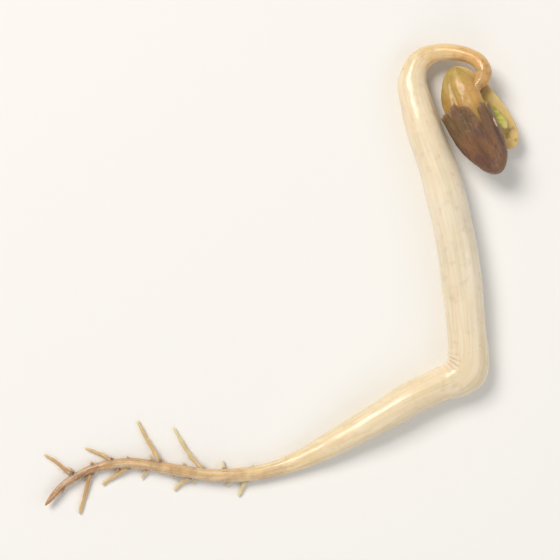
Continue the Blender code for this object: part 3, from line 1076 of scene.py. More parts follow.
class Route:
    """A smooth middle line with a width, measured by its length from the start."""

    SAMPLES_PER_SPAN = 24
    HEADING_REACH = 0.15
    CAP_RINGS = 9

    def __init__(self, stations: Sequence[Station]) -> None:
        """Draw the smooth line through the stations."""
        points = np.array([(s.x, s.y, s.lift + s.width * STEM_FLATNESS / 2, s.width) for s in stations])
        spans = np.linalg.norm(np.diff(points[:, :3], axis=0), axis=1)[:, None]
        slopes = np.diff(points, axis=0) / spans
        inner = (slopes[:-1] * spans[1:] + slopes[1:] * spans[:-1]) / (spans[:-1] + spans[1:])
        slopes = np.vstack((slopes[:1], inner, slopes[-1:]))
        samples = []
        for k, span in enumerate(spans):
            for t in np.arange(self.SAMPLES_PER_SPAN) / self.SAMPLES_PER_SPAN:
                ease = t * t * (3 - 2 * t)
                rise = span * (t * (1 - t) ** 2 * slopes[k] - t * t * (1 - t) * slopes[k + 1])
                samples.append(points[k] * (1 - ease) + points[k + 1] * ease + rise)
        self.samples = np.array([*samples, points[-1]])
        steps = np.linalg.norm(np.diff(self.samples[:, :3], axis=0), axis=1)
        self.lengths = np.concatenate(([0], np.cumsum(steps)))
        self.length = float(self.lengths[-1])

    def mark(self, station: int) -> float:
        """Return how far along a station lies, by its number."""
        return float(self.lengths[station * self.SAMPLES_PER_SPAN])

    def read(self, places: np.ndarray) -> np.ndarray:
        """Return position and width, as rows of four, at some lengths along the line."""
        return np.stack([np.interp(places, self.lengths, column) for column in self.samples.T], axis=-1)

    def at(self, place: float) -> tuple[Vector, Vector, float]:
        """Return the middle, the heading and the width at one length along the line."""
        reach = self.HEADING_REACH
        here, ahead, behind = self.read(np.array([place, place + reach, place - reach]))
        return Vector(here[:3]), Vector(ahead[:3] - behind[:3]).normalized(), float(here[3])

    def rail(self, name: str, step: float, start_cap: float, end_cap: float) -> Mesh:
        """Return the line as a chain of edges with a point for each ring of a tube with round ends.

        Args:
            name: The mesh's name.
            step: The distance between rings.
            start_cap: The length of the round end at the start.
            end_cap: The length of the round end at the far end.

        Returns:
            The chain, with each ring's place, width and roundness kept at its point.
        """
        turns = np.linspace(0, math.pi / 2, self.CAP_RINGS)
        middle = self.length - start_cap - end_cap
        count = round(middle / step)
        inner = start_cap + middle * np.arange(1, count) / count
        start = start_cap * (1 - np.cos(turns))
        end = self.length - end_cap * (1 - np.cos(turns[::-1]))
        places = np.concatenate((start, inner, end))
        fullness = np.concatenate((np.sin(turns), np.ones(len(inner)), np.sin(turns[::-1])))
        rows = self.read(places)
        mesh = bpy.data.meshes.new(name)
        mesh.from_pydata(rows[:, :3].tolist(), [(i, i + 1) for i in range(len(places) - 1)], [])
        set_values(mesh, place=places, width=rows[:, 3], fullness=fullness)
        return mesh


class StemRoute(Route):
    """The line of neck, stem, elbow, foot and root."""

    def __init__(self) -> None:
        """Draw the line, and find the elbow and the start of the root on it."""
        super().__init__([Station(*row) for row in NECK + STEM + ELBOW + FOOT + ROOT])
        self.elbow = self.mark(len(NECK + STEM) + 1)
        self.root_start = self.mark(len(NECK + STEM + ELBOW + FOOT))


@dataclass(frozen=True)
class Bean:
    """The half bean that the seed leaves and the seed coat share: its long axis, width and depth."""

    length: float = 8.1
    width: float = 3.35
    depth: float = 1.45
    edge: float = 0.42
    bow: float = 0.34
    fullness: float = 2.3
    roundness: float = 0.92
    flatness: float = 0.6
    dish: float = 0.16

    def outline(self, x: Any) -> Any:
        """Return how full the outline is at x, from -1 at the base end to 1 at the tip."""
        return np.sqrt(np.maximum(0, 1 - np.abs(x) ** self.fullness))

    def middle(self, u: Any) -> Any:
        """Return the sideways bow of the middle line, u along from the base end."""
        share = np.clip(u / self.length, 0, 1)
        return -self.bow * 4 * share * (1 - share)

    def section(self, u: Any, fullness: Any, swell: Any, across: Any, out: Any) -> np.ndarray:
        """Return points of the skin.

        Args:
            u: Distance along from the base end.
            fullness: The outline's fullness there.
            swell: How far outside the half bean the points lie.
            across: Cosine of the angle from the edge on the neck's side over the round face.
            out: Its sine.

        Returns:
            Rows of along, across and out from the flat face.
        """
        half_width = (self.width / 2 + swell) * fullness
        edge = self.edge * fullness
        v = self.middle(u) + half_width * np.sign(across) * np.abs(across) ** self.roundness
        outer = edge + ((self.depth + swell) * fullness - edge) * np.abs(out) ** self.roundness
        inner = edge * (1 - np.abs(out) ** self.flatness) + self.dish * fullness * out**2
        return np.stack(np.broadcast_arrays(u, v, np.where(out >= 0, outer, inner)), axis=-1)


@dataclass(frozen=True)
class HeadPose:
    """How the head lies in the plan, and how its two halves open."""

    base: Pair = (-1.14, 24.48)
    bearing: float = -64.5
    roll: float = 21.0
    gape: float = 11.0
    splay: float = 12.0
    gap: float = 0.16

    def matrix(self) -> Matrix:
        """Return the head's frame in the plan: X along, Y towards the neck's end, Z out of the upper leaf."""
        bearing = math.radians(self.bearing)
        along = Vector((math.cos(bearing), math.sin(bearing), 0))
        turned = Matrix.Rotation(math.radians(self.roll), 3, along)
        axes = Matrix((along, turned @ UP.cross(along), turned @ UP)).transposed()
        return Matrix.Translation((*self.base, 0)) @ axes.to_4x4()

    def leaf(self, side: LeafSide) -> Matrix:
        """Return a seed leaf's frame in the head, opened at its tip and, below, splayed."""
        mirror = Matrix.Diagonal((1, 1, side.value, 1))
        turn = Matrix.Rotation(math.radians(-self.gape / 2 * side.value), 4, "Y")
        splay = Matrix.Rotation(math.radians(self.splay if side is LeafSide.LOWER else 0), 4, "Z")
        return splay @ turn @ mirror @ Matrix.Translation((0, 0, self.gap / 2))


def find_frames(bean: Bean, pose: HeadPose) -> tuple[Matrix, Matrix]:
    """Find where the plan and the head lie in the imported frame, from the upper seed leaf's box.

    Args:
        bean: The half bean.
        pose: How the head lies in the plan.

    Returns:
        The place of the plan, whose heights are the frame's own, and of the head, which was let down
        until it touched the surface.
    """
    drawn = pose.matrix() @ pose.leaf(LeafSide.UPPER)
    leaf = SeedLeaf(LeafSide.UPPER, bean, pose, groove_depth=0)
    points = np.array([drawn @ Vector(point) for point in np.vstack(leaf.loft().rings)])
    packed = np.array(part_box(leaf.name)) / MM
    shift = packed.mean(0) - (points.min(0) + points.max(0)) / 2
    to_metres = Matrix.Scale(MM, 4)
    plan = to_metres @ Matrix.Translation((shift[0], shift[1], 0))
    return plan, to_metres @ Matrix.Translation(shift) @ pose.matrix()


class Piece(ABC):
    """A part of the sprout that makes its own mesh and hands it over."""

    @abstractmethod
    def build(self, shop: Workshop) -> None:
        """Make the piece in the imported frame."""


@dataclass
class SeedLeaf(Piece):
    """One plump half of the bean, with a soft relief and a dished inner face."""

    side: LeafSide
    bean: Bean
    pose: HeadPose
    sides: int = 112
    rings: int = 96
    relief: Relief = Relief((1.7, 0.16), (0.55, 0.05), (0.5, 0.035), stretch=5.0, seed=2.0)
    groove_depth: float = 0.14
    groove_angle: float = 1.7
    groove_width: float = 0.16
    inside_step: float = 3.0
    tip_start: float = 0.25
    relief_fade: float = 0.7
    stalk: Three = (2.40, 1.15, 0.45)
    stalk_reach: float = 0.85
    stalk_rise: float = 0.10

    @property
    def name(self) -> str:
        """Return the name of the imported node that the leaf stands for."""
        return f"seed_leaf_{self.side.name.lower()}"

    def loft(self) -> Loft:
        """Return the half bean in its own frame, flat face down, with a shallow groove along its back."""
        loft = Loft(self.name)
        for turn, across, out in rings_of(self.rings, self.sides):
            u = self.bean.length * (1 - math.cos(turn)) / 2
            ring = self.bean.section(u, self.bean.outline(-math.cos(turn)), 0.0, across, out)
            inside = np.clip(0.5 - self.inside_step * out, 0, 1)
            groove = bell(np.arctan2(out, across) - self.groove_angle, self.groove_width)
            ring[:, 2] -= self.groove_depth * groove * math.sin(turn) ** 2
            stalk = bell(np.linalg.norm(ring - np.array(self.stalk), axis=1), self.stalk_reach)
            ring[:, 1] += self.stalk_rise * stalk
            tipward = smooth_step(ring[:, 0], self.tip_start * self.bean.length, self.bean.length)
            relief = abs(math.sin(turn)) ** self.relief_fade
            loft.add(ring, inside=inside, stalk=stalk, tipward=tipward, relief=relief)
        return loft

    def build(self, shop: Workshop) -> None:
        """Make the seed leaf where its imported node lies."""
        mesh = shop.carve(self.loft().mesh(), self.relief, Look.SEED_LEAF)
        place = shop.head @ self.pose.leaf(self.side)
        shop.deliver(self.name, mesh, place, Look.SEED_LEAF, Slot.SEED_LEAF, self.name)


@dataclass
class SeedCoat(Piece):
    """Half a thin coat over the far part of the upper seed leaf, with folds, splits and a torn rim.

    A wave round the torn rim, or in the folds' drift along the coat, is a size, a beat and a phase. A
    split in the rim is a depth, an angle in degrees and a width in degrees. The folds are broad, narrow
    and crosswise ones, with a share and a beat each. The drift turns the first two, and the last two
    sway round the coat by a size and a beat.
    """

    bean: Bean
    pose: HeadPose
    wall: float = 0.10
    swell: float = 0.34
    overhang: float = 1.25
    rim: float = 3.5
    tear: Rows = ((0.42, 2.0, 0.6), (0.17, 5.0, 1.9))
    ragged: Rows = ((0.06, 17.0, 0.4), (0.04, 31.0, 2.2), (0.025, 57.0, 1.1))
    splits: Rows = ((1.5, 62.0, 5.0), (0.8, 118.0, 4.0), (0.5, 20.0, 3.5))
    split_shape: float = 1.3
    arc: Pair = (-9.0, 189.0)
    strips: int = 220
    rows: int = 90
    row_spacing: float = 1.15
    fold_depth: float = 0.13
    fold_drift: Rows = ((0.55, 4.2, 0.8), (0.22, 11.0, 0.0))
    fold_shares: Three = (0.45, 0.40, 0.15)
    fold_beats: Three = (5.0, 13.0, 9.0)
    fold_turns: Pair = (2.4, -3.1)
    narrow_sway: Pair = (1.3, 3.0)
    cross_sway: Pair = (2.0, 2.0)
    fold_at_rim: float = 0.35
    fold_growth: float = 6.0
    fold_shade: float = 1.5
    end_wall: float = 0.125
    curl: float = 0.06
    curl_reach: float = 0.35
    rim_shade: float = 0.8
    rim_shade_inside: float = 0.5
    rim_shade_reach: float = 0.16
    relief: Relief = Relief((1.2, 0.06), (0.3, 0.05), (0.35, 0.03), stretch=7.0, seed=6.0)

    def rim_place(self, angle: np.ndarray) -> np.ndarray:
        """Return how far along the torn rim lies, at each angle round the coat."""
        place = np.full_like(angle, self.rim)
        for size, beat, phase in self.tear + self.ragged:
            place += size * np.sin(beat * angle + phase)
        for depth, middle, width in self.splits:
            place += depth * np.exp(-(np.abs((np.degrees(angle) - middle) / width) ** self.split_shape))
        return place

    def folds(self, u: np.ndarray, angle: np.ndarray) -> np.ndarray:
        """Return how deep the coat's long folds are, from 0 to 1, at some points."""
        share = u / (self.bean.length + self.overhang)
        drift = sum(size * np.sin(beat * share + phase) for size, beat, phase in self.fold_drift)
        sways = (self.narrow_sway, self.cross_sway)
        narrow_sway, cross_sway = (size * np.sin(beat * angle) for size, beat in sways)
        broad_beat, narrow_beat, cross_beat = self.fold_beats
        broad = half_wave(broad_beat * angle + self.fold_turns[0] * drift)
        narrow = half_wave(narrow_beat * angle + self.fold_turns[1] * drift + narrow_sway)
        cross = half_wave(cross_beat * share + cross_sway)
        shares = zip(self.fold_shares, (broad**2, narrow**3 * cross, cross))
        return sum(weight * fold for weight, fold in shares)

    def loft(self) -> Loft:
        """Return the coat in the upper seed leaf's frame, from its torn rim to its closed end."""
        bean, half = self.bean, self.bean.length / 2
        angle = np.radians(np.linspace(*self.arc, self.strips + 1))
        around = (np.cos(angle), np.sin(angle))
        rim = self.rim_place(angle)
        start = np.arccos((rim - half) / half)
        loft = Loft("seed_coat")
        for k in range(self.rows):
            share = k / self.rows
            x = np.cos(start * (1 - share**self.row_spacing))
            u = half + x * np.where(x > 0, half + self.overhang, half)
            growth = min(1.0, self.fold_growth * share + self.fold_at_rim)
            fold = self.folds(u, angle) * growth * (1 - share**3)
            from_rim = np.maximum(u - rim, 0)
            swell = self.swell - self.fold_depth * fold + self.curl * np.exp(-from_rim / self.curl_reach)
            outer = bean.section(u, bean.outline(x), swell, *around)
            inner_u = u - self.end_wall * np.maximum(x, 0)
            inner = bean.section(inner_u, bean.outline(x), swell - self.wall, *around)
            shade = self.rim_shade * np.exp(-from_rim / self.rim_shade_reach)
            masks = {
                # The fold mask is painted shade, darkest in the deepest folds.
                "fold": np.concatenate((fold, fold[::-1])) ** self.fold_shade,
                "rim": np.concatenate((shade, np.clip(shade[::-1] + self.rim_shade_inside, 0, 1))),
            }
            loft.add(np.vstack((outer, inner[::-1])), relief=1 - share**4, **masks)
        pole = np.array([(bean.length + self.overhang, float(bean.middle(bean.length)), 0.0)])
        loft.add(pole, relief=0, fold=0, rim=0)
        return loft

    def build(self, shop: Workshop) -> None:
        """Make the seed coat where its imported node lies."""
        mesh = shop.carve(self.loft().mesh(), self.relief, Look.COAT)
        place = shop.head @ self.pose.leaf(LeafSide.UPPER)
        shop.deliver("seed_coat", mesh, place, Look.COAT, Slot.COAT, "seed_coat")


@dataclass
class Hilum(Piece):
    """The pale scar on the coat's edge by the neck, a low oval pad with a slit."""

    bean: Bean
    pose: HeadPose
    place: float = 5.5
    angle: float = 12.0
    length: float = 1.2
    width: float = 0.34
    height: float = 0.10
    swell: float = 0.27
    rings: int = 40
    sides: int = 32
    slit_width: float = 0.2
    slit_depth: float = 0.45

    def build(self, shop: Workshop) -> None:
        """Make the scar on the coat."""
        angle = math.radians(self.angle)
        half = self.bean.length / 2
        fullness = self.bean.outline((self.place - half) / half)
        middle = self.bean.section(self.place, fullness, self.swell, math.cos(angle), math.sin(angle))
        along = np.array((1.0, 0.0, 0.0))
        outward = np.array((0.0, math.cos(angle), math.sin(angle)))
        across = np.cross(outward, along)
        loft = Loft("hilum")
        for turn, *round_ring in rings_of(self.rings, self.sides):
            t = -math.cos(turn)
            side, rise = np.array(round_ring) * math.sin(turn)
            slit = bell(side, self.slit_width) * (rise > 0) * (1 - t**6)
            lift = self.height * (rise - self.slit_depth * slit)
            ring = middle + along * self.length / 2 * t + np.outer(side * self.width / 2, across)
            loft.add(ring + np.outer(lift, outward), slit=slit)
        place = shop.head @ self.pose.leaf(LeafSide.UPPER)
        shop.deliver("hilum", loft.mesh(), place, Look.SCAR, Slot.COAT)


@dataclass
class LeafBud(Piece):
    """The first two leaves, thin pleated blades that lie face to face on a short stalk, and their down."""

    start: float = 1.75
    length: float = 4.5
    width: float = 1.75
    thickness: float = 0.66
    stalk: float = 0.36
    lean: float = 1.9
    curl: float = 1.4
    taper: float = 1.35
    fullness: float = 0.8
    blade: float = 0.09
    shortening: float = 0.07
    camber_shape: float = 2.2
    stalk_camber: float = 0.22
    closing: float = 0.02
    veins: float = 7.0
    vein_slope: float = 8.8
    vein_sharpness: int = 6
    midrib_width: float = 0.09
    midrib_height: float = 0.05
    vein_height: float = 0.028
    wave: float = 0.05
    waves: float = 2.3
    wave_phase: float = 1.1
    offset: float = 0.10
    blade_shade: float = 1.4
    side_vein_shade: float = 0.8
    edge_start: float = 0.86
    hairy_from: float = -0.3
    sides: int = 72
    rings: int = 84
    down: Fuzz = Fuzz(density=26.0, length=0.20, width=0.014, seed=5)

    def leaf(self, side: LeafSide) -> Loft:
        """Return one blade with its half of the stalk, arched away from the other blade."""
        sign = side.value
        loft = Loft(f"bud_leaf_{side.name.lower()}")
        reach = self.length * (1 - self.shortening * (side is LeafSide.LOWER))
        for turn, s, face in rings_of(self.rings, self.sides):
            t = (1 - math.cos(turn)) / 2
            blade = math.sin(math.pi * t**self.taper) ** self.fullness
            stalk = self.stalk * math.sqrt(4 * t * (1 - t))
            half_width = (stalk + (self.width - self.stalk) * blade) / 2
            thick = stalk * (1 - blade) / 2 + self.blade * blade
            arch = (self.thickness - self.blade) / 2 * blade
            bulge = 1 - np.abs(s) ** self.camber_shape
            camber = stalk * self.stalk_camber + (arch - self.closing) * bulge
            phase = self.veins * 2 * math.pi * (t - np.abs(s) / self.vein_slope)
            side_vein = np.maximum(0, np.cos(phase)) ** self.vein_sharpness * blade * (1 - s**4)
            midrib = bell(s, self.midrib_width) * blade
            wave = math.sin(2 * math.pi * self.waves * t + self.wave_phase * sign)
            ripple = self.wave * blade * np.abs(s) ** 3 * wave
            ridge = self.midrib_height * midrib + self.vein_height * side_vein
            w = sign * (camber + ripple + ridge + thick / 2 * face)
            v = self.lean * t**self.curl + half_width * s + self.offset * sign * t * blade
            masks = {
                "blade": min(1.0, blade * self.blade_shade),
                "vein": np.clip(midrib + self.side_vein_shade * side_vein, 0, 1),
                "edge": np.clip((np.abs(s) - self.edge_start) / (1 - self.edge_start), 0, 1) * blade,
                "fuzz": blade * (face > self.hairy_from),
            }
            loft.add(np.stack((np.full(len(s), self.start + reach * t), v, w), axis=-1), **masks)
        return loft

    def build(self, shop: Workshop) -> None:
        """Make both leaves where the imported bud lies, and the down on them."""
        for side in LeafSide:
            name = side.name.lower()
            mesh = self.leaf(side).mesh()
            down = shop.comb(mesh, self.down)
            shop.deliver(f"bud_leaf_{name}", mesh, shop.head, Look.BUD, Slot.BUD, "leaf_bud")
            shop.deliver(f"bud_down_{name}", down, shop.head, Look.HAIR, Slot.BUD)


@dataclass
class SideRoots(Piece):
    """Short side roots, which break out of the root through a low collar, and their hairs."""

    route: StemRoute
    name: str = "side_roots"
    count: int = 8
    seed: int = 11
    width: float = 0.43
    tip: float = 0.23
    lengths: Pair = (1.4, 4.2)
    stretch: Pair = (0.10, 0.92)
    leans: Pair = (32, 68)
    bends: Pair = (-0.15, 0.50)
    lift: float = 0.03
    droop: float = 1.5
    spread: float = 0.8
    sway: float = 0.10
    sway_turn: float = 5.5
    sway_phase: float = 2.4
    stations: int = 9
    sides: int = 24
    ring_step: float = 0.06
    caps: Pair = (0.05, 0.3)
    collar: float = 0.42
    collar_reach: float = 0.30
    collar_shade: float = 3.0
    tip_shade: float = 6.0
    stain_reach: float = 0.24
    hair_blend: float = 0.5
    relief: Relief = Relief((1.0, 0.08), (0.2, 0.025), (0.3, 0.03), stretch=8.0, seed=8.0)
    hairs: Fuzz = Fuzz(density=44.0, length=0.40, width=0.016, seed=3, lean=0.9)

    def branches(self) -> list[tuple[float, Route]]:
        """Return where each side root leaves the root, and its middle line."""
        main = self.route
        rng = np.random.default_rng(self.seed)
        low, high = self.stretch
        branches = []
        for k in range(self.count):
            share = low + (high - low) * (k + rng.uniform(0, self.spread)) / self.count
            place = main.root_start + share * (main.length - main.root_start)
            middle, heading, width = main.at(place)
            side = heading.cross(UP).normalized() * (1 if k % 2 else -1)
            lean = math.radians(rng.uniform(*self.leans))
            out = heading * math.cos(lean) + side * math.sin(lean)
            bend = side.lerp(heading, rng.uniform(0, 1)) * rng.uniform(*self.bends)
            length = rng.uniform(*self.lengths)
            phase = self.sway_phase * k
            across = out.cross(UP) * self.sway
            stations = []
            for t in np.linspace(0, 1, self.stations):
                waves = math.sin(phase + self.sway_turn * t) - math.sin(phase)
                point = middle + (out + bend * t) * (length + width / 2) * t + across * waves * t
                lift = max((middle.z - self.width / 2) * (1 - t) ** self.droop, self.lift)
                stations.append(Station(point.x, point.y, lift, self.width + (self.tip - self.width) * t))
            branches.append((place, Route(stations)))
        return branches

    def exits(self) -> list[Vector]:
        """Return where each side root comes out of the root's skin."""
        return [branch.at(self.route.at(place)[2] / 2)[0] for place, branch in self.branches()]

    def tube(self, place: float, branch: Route, shop: Workshop) -> Mesh:
        """Return one side root, with its shade and its masks.

        Args:
            place: Where along the stem's line it leaves.
            branch: Its own middle line.
            shop: What it is made with.

        Returns:
            The side root's mesh, in the plan.
        """
        rail = branch.rail(self.name, self.ring_step, *self.caps)
        start = self.route.at(place)[2] / 2
        flare = 1 + self.collar * bell(read_values(rail, "place") - start, self.collar_reach)
        set_values(rail, width=read_values(rail, "width") * flare)
        tube = shop.roll(rail, Look.STEM, Sides=self.sides, Heading_Reach=Route.HEADING_REACH)
        along = read_values(tube, "place")
        share = along / branch.length
        set_values(
            tube,
            place=place + self.collar_shade - (self.collar_shade + self.tip_shade) * share,
            stain=bell(along - start, self.stain_reach),
            crease=0,
            relief=np.clip(along, 0, 1),
            fuzz=np.clip((along - start) / self.hair_blend, 0, 1) * (1 - share**3) * lifted(tube),
            rooty=1 - share,
            golden=0,
        )
        return tube

    def build(self, shop: Workshop) -> None:
        """Make the side roots and their hairs."""
        joined = bmesh.new()
        for place, branch in self.branches():
            tube = self.tube(place, branch, shop)
            joined.from_mesh(tube)
            bpy.data.meshes.remove(tube)
        mesh = bpy.data.meshes.new(self.name)
        joined.to_mesh(mesh)
        joined.free()
        mesh = shop.carve(mesh, self.relief, Look.STEM)
        hairs = shop.comb(mesh, self.hairs)
        shop.deliver(self.name, mesh, shop.plan, Look.STEM, Slot.STEM)
        shop.deliver(f"{self.name}_hairs", hairs, shop.plan, Look.HAIR, Slot.STEM)


def make_stubs(route: StemRoute) -> SideRoots:
    """Return the side roots that have only just broken through."""
    return SideRoots(
        route,
        name="root_stubs",
        count=15,
        seed=29,
        width=0.28,
        tip=0.16,
        lengths=(0.12, 0.8),
        stretch=(0.02, 0.95),
        leans=(45, 85),
        bends=(-0.1, 0.3),
        lift=0.10,
        droop=0.8,
        collar=0.5,
        collar_reach=0.14,
        sway=0.0,
        stain_reach=0.12,
        hairs=Fuzz(density=30.0, length=0.24, width=0.014, seed=13),
    )


@dataclass(frozen=True)
class Bend:
    """How far the stem swells outside its elbow, narrows and folds inside it, and over what reach."""

    knuckle_swell: float = 0.24
    knuckle_pinch: float = 0.05
    knuckle_reach: float = 1.5
    fold_depth: float = 0.11
    fold_pitch: float = 0.62
    fold_reach: float = 1.25


@dataclass
class StemAndRoot(Piece):
    """The stem with its neck and root, one tube from the head's joint to the root's tip, and root hairs."""

    route: StemRoute
    side_roots: Sequence[SideRoots]
    sides: int = 104
    ring_step: float = 0.12
    caps: Pair = (0.55, 1.2)
    heading_reach: float = 1.1
    bend: Bend = Bend()
    halo: float = 0.34
    root_blend: Pair = (-5.0, 3.0)
    hair_blend: Pair = (2.0, 9.0)
    neck_blend: Pair = (7.5, 2.0)
    end_fades: Pair = (1.5, 2.0)
    relief: Relief = Relief((3.4, 0.15), (0.75, 0.035), (0.8, 0.014), stretch=14.0, seed=1.0)
    root_relief: Relief = Relief((1.3, 0.07), (0.25, 0.045), (0.35, 0.03), stretch=10.0, seed=5.0)
    hairs: Fuzz = Fuzz(density=30.0, length=0.42, width=0.016, seed=7, lean=0.9)

    def tip_fade(self, place: np.ndarray) -> np.ndarray:
        """Return 1 along the line, falling to 0 at the root's tip."""
        return np.clip((self.route.length - place) / self.end_fades[1], 0, 1)

    def mark_zones(self, mesh: Mesh) -> None:
        """Keep the masks of the root, the golden neck, the stained spots and the hairs on the mesh.

        The root's colour and its hairs begin over a stretch that is measured from the root's start.
        """
        place = read_values(mesh, "place")
        points = spots(mesh)
        stain = np.zeros(len(points))
        for branches in self.side_roots:
            for point in branches.exits():
                gap = np.linalg.norm(points - np.array(point), axis=1)
                stain = np.maximum(stain, bell(gap, self.halo))
        rooty = smooth_step(place - self.route.root_start, *self.root_blend)
        hairy = smooth_step(place - self.route.root_start, *self.hair_blend)
        golden = smooth_step(place, *self.neck_blend)
        ends = np.clip(place / self.end_fades[0], 0, 1) * self.tip_fade(place)
        set_values(mesh, rooty=rooty, golden=golden, stain=stain)
        set_values(mesh, relief=ends * (1 - rooty), fuzz=hairy * ends * lifted(mesh))

    def build(self, shop: Workshop) -> None:
        """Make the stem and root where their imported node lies, and the root's hairs."""
        rail = self.route.rail("stem_and_root", self.ring_step, *self.caps)
        mesh = shop.roll(
            rail,
            Look.STEM,
            Sides=self.sides,
            Flatness=STEM_FLATNESS,
            Heading_Reach=self.heading_reach,
            Knuckle_Place=self.route.elbow,
            **{name.title(): size for name, size in vars(self.bend).items()},
        )
        self.mark_zones(mesh)
        mesh = shop.carve(mesh, self.relief, Look.STEM)
        set_values(mesh, relief=read_values(mesh, "rooty") * self.tip_fade(read_values(mesh, "place")))
        mesh = shop.carve(mesh, self.root_relief, Look.STEM)
        hairs = shop.comb(mesh, self.hairs)
        shop.deliver("stem_and_root", mesh, shop.plan, Look.STEM, Slot.STEM, "stem_and_root")
        shop.deliver("root_hairs", hairs, shop.plan, Look.HAIR, Slot.STEM)


@dataclass(frozen=True)
class Bead:
    """A ball of flesh on a strand of the leaf joint, with the strand's heading and length up to it."""

    middle: Vector
    radius: float
    heading: Vector
    along: float

    def straighten(self, points: np.ndarray) -> np.ndarray:
        """Return points as across, up and along in the straightened strand."""
        side = self.heading.cross(UP).normalized()
        axes = np.array((side, side.cross(self.heading), self.heading))
        return (points - np.array(self.middle)) @ axes.T + np.array((0, 0, self.along))


@dataclass
class LeafJoint(Piece):
    """The knot at the neck's end, with a short fleshy stalk into each seed leaf and into the bud.

    Widths are at a strand's start, half way and at its end, the neck's as shares of its own width.
    """

    route: Route
    pose: HeadPose
    neck_end: float = 0.35
    neck_reach: float = 1.3
    neck_widths: Three = (0.66, 0.92, 1.04)
    stalk_widths: Three = (1.20, 0.84, 0.92)
    bud_widths: Three = (0.90, 0.58, 0.42)
    shoulder: Three = (2.15, 1.30, 0.32)
    socket: Three = (2.95, 0.55, 0.60)
    bud_socket: Three = (2.3, 0.35, 0.0)
    beads: int = 22
    ball_detail: int = 3
    voxel: float = 0.045
    smoothing: int = 14
    blend: float = 0.14
    relief: Relief = Relief((0.8, 0.06), (0.25, 0.025), (0.3, 0.03), stretch=5.0, seed=4.0)

    def strand(self, points: Sequence[Vector], widths: Sequence[float], start: float = 0.0) -> list[Bead]:
        """Return beads along a curve.

        Args:
            points: The curve's start, the point that it bends towards, and its end.
            widths: Its width at the start, half way and at the end.
            start: The length already behind its start.

        Returns:
            The beads, from the start on.
        """
        first, bend, last = points
        beads = []
        along = start
        previous = first
        for t in np.linspace(0, 1, self.beads):
            middle = first.lerp(bend, t).lerp(bend.lerp(last, t), t)
            heading = ((bend - first) * (1 - t) + (last - bend) * t).normalized()
            along += (middle - previous).length
            previous = middle
            beads.append(Bead(middle, float(np.interp(t, (0, 0.5, 1), widths)) / 2, heading, along))
        return beads

    def strands(self, shop: Workshop) -> list[Bead]:
        """Return the beads of the neck's end, both stalks and the bud's stalk, in the plan."""
        to_plan = shop.plan.inverted() @ shop.head
        end, _, width = self.route.at(self.neck_end)
        neck = self.route.at(self.neck_reach)[0]
        bend = self.route.at((self.neck_reach + self.neck_end) / 2)[0]
        widths = [width * share for share in self.neck_widths]
        beads = self.strand((neck, bend, end), widths, -self.neck_reach)
        for side in LeafSide:
            leaf = to_plan @ self.pose.leaf(side)
            shoulder, socket = (leaf @ Vector(spot) for spot in (self.shoulder, self.socket))
            beads += self.strand((end, shoulder, socket), self.stalk_widths)
        bud = to_plan @ Vector(self.bud_socket)
        return beads + self.strand((end, end.lerp(bud, 0.5), bud), self.bud_widths)

    def fuse(self, beads: Sequence[Bead]) -> Mesh:
        """Return one smooth skin round all the beads, with its masks and its straightened places."""
        lumps = bmesh.new()
        for bead in beads:
            place = Matrix.Translation(bead.middle)
            bmesh.ops.create_icosphere(lumps, subdivisions=self.ball_detail, radius=bead.radius, matrix=place)
        mesh = bpy.data.meshes.new("leaf_joint")
        lumps.to_mesh(mesh)
        lumps.free()
        blob = put_in_scene("leaf_joint", mesh)
        remesh = blob.modifiers.new("one skin", "REMESH")
        remesh.mode = "VOXEL"
        remesh.voxel_size = self.voxel
        smooth = blob.modifiers.new("smooth", "SMOOTH")
        smooth.iterations = self.smoothing
        knot = harvest(blob)
        points = spots(knot)
        middles = np.array([bead.middle for bead in beads])
        radii = np.array([bead.radius for bead in beads])
        gaps = np.linalg.norm(points[:, None] - middles[None], axis=2) - radii
        shares = np.exp((gaps.min(axis=1, keepdims=True) - gaps) / self.blend)
        shares /= shares.sum(axis=1, keepdims=True)
        skin = sum(share[:, None] * bead.straighten(points) for share, bead in zip(shares.T, beads))
        place = np.clip(self.neck_end - skin[:, 2], 0, None)
        set_values(knot, skin=skin, place=place, crease=0, stain=0, relief=1, rooty=0, golden=1)
        return knot

    def build(self, shop: Workshop) -> None:
        """Make the knot and its stalks."""
        knot = shop.carve(self.fuse(self.strands(shop)), self.relief, Look.STEM)
        shop.deliver("leaf_joint", knot, shop.plan, Look.STEM, Slot.STEM)


@dataclass(frozen=True)
class Lamp:
    """A square soft light that faces the sprout, with its place in metres and its power in watts."""

    name: str
    place: Three
    size: float
    power: float
    tint: Colour

    def hang(self) -> None:
        """Put the light in the scene."""
        light = bpy.data.lights.new(self.name, "AREA")
        light.shape = "SQUARE"
        light.size = self.size
        light.energy = self.power
        light.color = self.tint[:3]
        lamp = put_in_scene(self.name, light)
        lamp.location = self.place
        lamp.rotation_euler = (-Vector(self.place)).to_track_quat("-Z", "Y").to_euler()


WARM = screen(255, 250, 242)
COOL = screen(244, 249, 255)


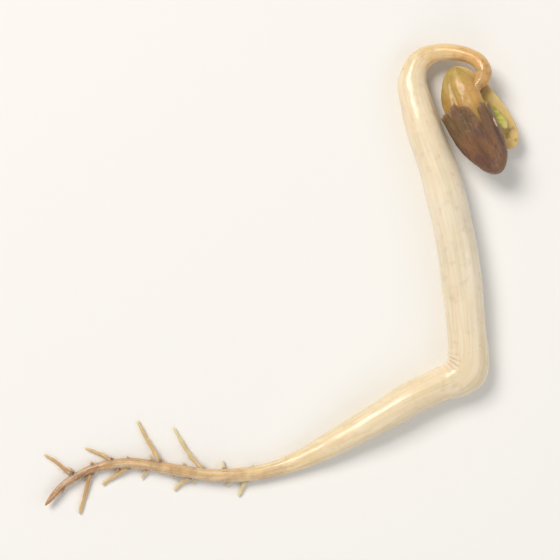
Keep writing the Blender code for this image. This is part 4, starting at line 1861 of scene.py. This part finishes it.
@dataclass
class Studio:
    """A plain pale floor, soft light and a camera that looks straight down on the sprout as it lies."""

    frame_width: float = 45.0
    lens: float = 100.0
    sensor: float = 36.0
    clip: Pair = (0.005, 20.0)
    floor_size: float = 4.0
    floor_drop: float = 0.03
    floor_white: Colour = screen(247, 246, 244)
    floor_roughness: float = 0.8
    floor_shine: float = 0.2
    air: Colour = screen(253, 252, 250)
    air_strength: float = 0.36
    lamps: tuple[Lamp, ...] = (
        Lamp("key_light", (-0.24, 0.26, 0.42), 0.24, 2.1, WARM),
        Lamp("fill_light", (0.40, -0.05, 0.36), 0.40, 0.5, COOL),
        Lamp("back_light", (0.05, -0.42, 0.26), 0.30, 0.35, WARM),
    )

    def add_floor(self) -> None:
        """Lay the floor just under the sprout."""
        finish = bpy.data.materials.new("studio_floor")
        finish.use_nodes = True
        shader = finish.node_tree.nodes["Principled BSDF"].inputs
        shader["Base Color"].default_value = self.floor_white
        shader["Roughness"].default_value = self.floor_roughness
        shader["Specular IOR Level"].default_value = self.floor_shine
        half = self.floor_size / 2
        corners = [(-half, -half), (half, -half), (half, half), (-half, half)]
        mesh = bpy.data.meshes.new("floor")
        mesh.from_pydata([(x, y, -self.floor_drop * MM) for x, y in corners], [], [(0, 1, 2, 3)])
        mesh.materials.append(finish)
        floor = put_in_scene("floor", mesh)
        floor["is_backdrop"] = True

    def add_camera(self) -> None:
        """Put the camera over the middle of the sprout."""
        data = bpy.data.cameras.new("camera")
        data.lens = self.lens
        data.sensor_width = self.sensor
        data.clip_start, data.clip_end = self.clip
        camera = put_in_scene("camera", data)
        low, high = CAD_BOX
        camera.location = (low + high) / 2 + UP * self.frame_width * MM * self.lens / self.sensor
        bpy.context.scene.camera = camera

    def build(self) -> None:
        """Make the whole studio."""
        self.add_camera()
        self.add_floor()
        for lamp in self.lamps:
            lamp.hang()
        world = bpy.data.worlds.new("studio_air")
        world.use_nodes = True
        background = world.node_tree.nodes["Background"].inputs
        background["Color"].default_value = self.air
        background["Strength"].default_value = self.air_strength
        bpy.context.scene.world = world
        bpy.context.scene.view_settings.view_transform = "Standard"


def open_workshop(route: StemRoute, bean: Bean, pose: HeadPose) -> Workshop:
    """Make the node trees and the finishes, and find where the plan and the head lie."""
    patterns = make_patterns()
    designs = make_finishes(route, bean).items()
    finishes = {look: finish.build(look.value, patterns) for look, finish in designs}
    trees = (make_tube_tree(), make_relief_tree(), make_hair_tree())
    return Workshop(*trees, finishes, *find_frames(bean, pose))


def write_sizes() -> None:
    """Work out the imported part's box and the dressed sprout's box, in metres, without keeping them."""
    boxes = {"cad_box": CAD_BOX, "visual_box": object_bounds()}
    {name: [list(corner) for corner in box] for name, box in boxes.items()}


def main() -> None:
    """Light the sprout and dress it, piece by piece."""
    logging.basicConfig(level=logging.INFO, format="%(name)s %(message)s")
    Studio().build()
    route, bean, pose = StemRoute(), Bean(), HeadPose()
    shop = open_workshop(route, bean, pose)
    side_roots = (SideRoots(route), make_stubs(route))
    leaves = [SeedLeaf(side, bean, pose) for side in LeafSide]
    head = (LeafJoint(route, pose), *leaves, LeafBud(), SeedCoat(bean, pose), Hilum(bean, pose))
    for piece in (StemAndRoot(route, side_roots), *side_roots, *head):
        piece.build(shop)
    write_sizes()


if __name__ == "__main__":
    main()
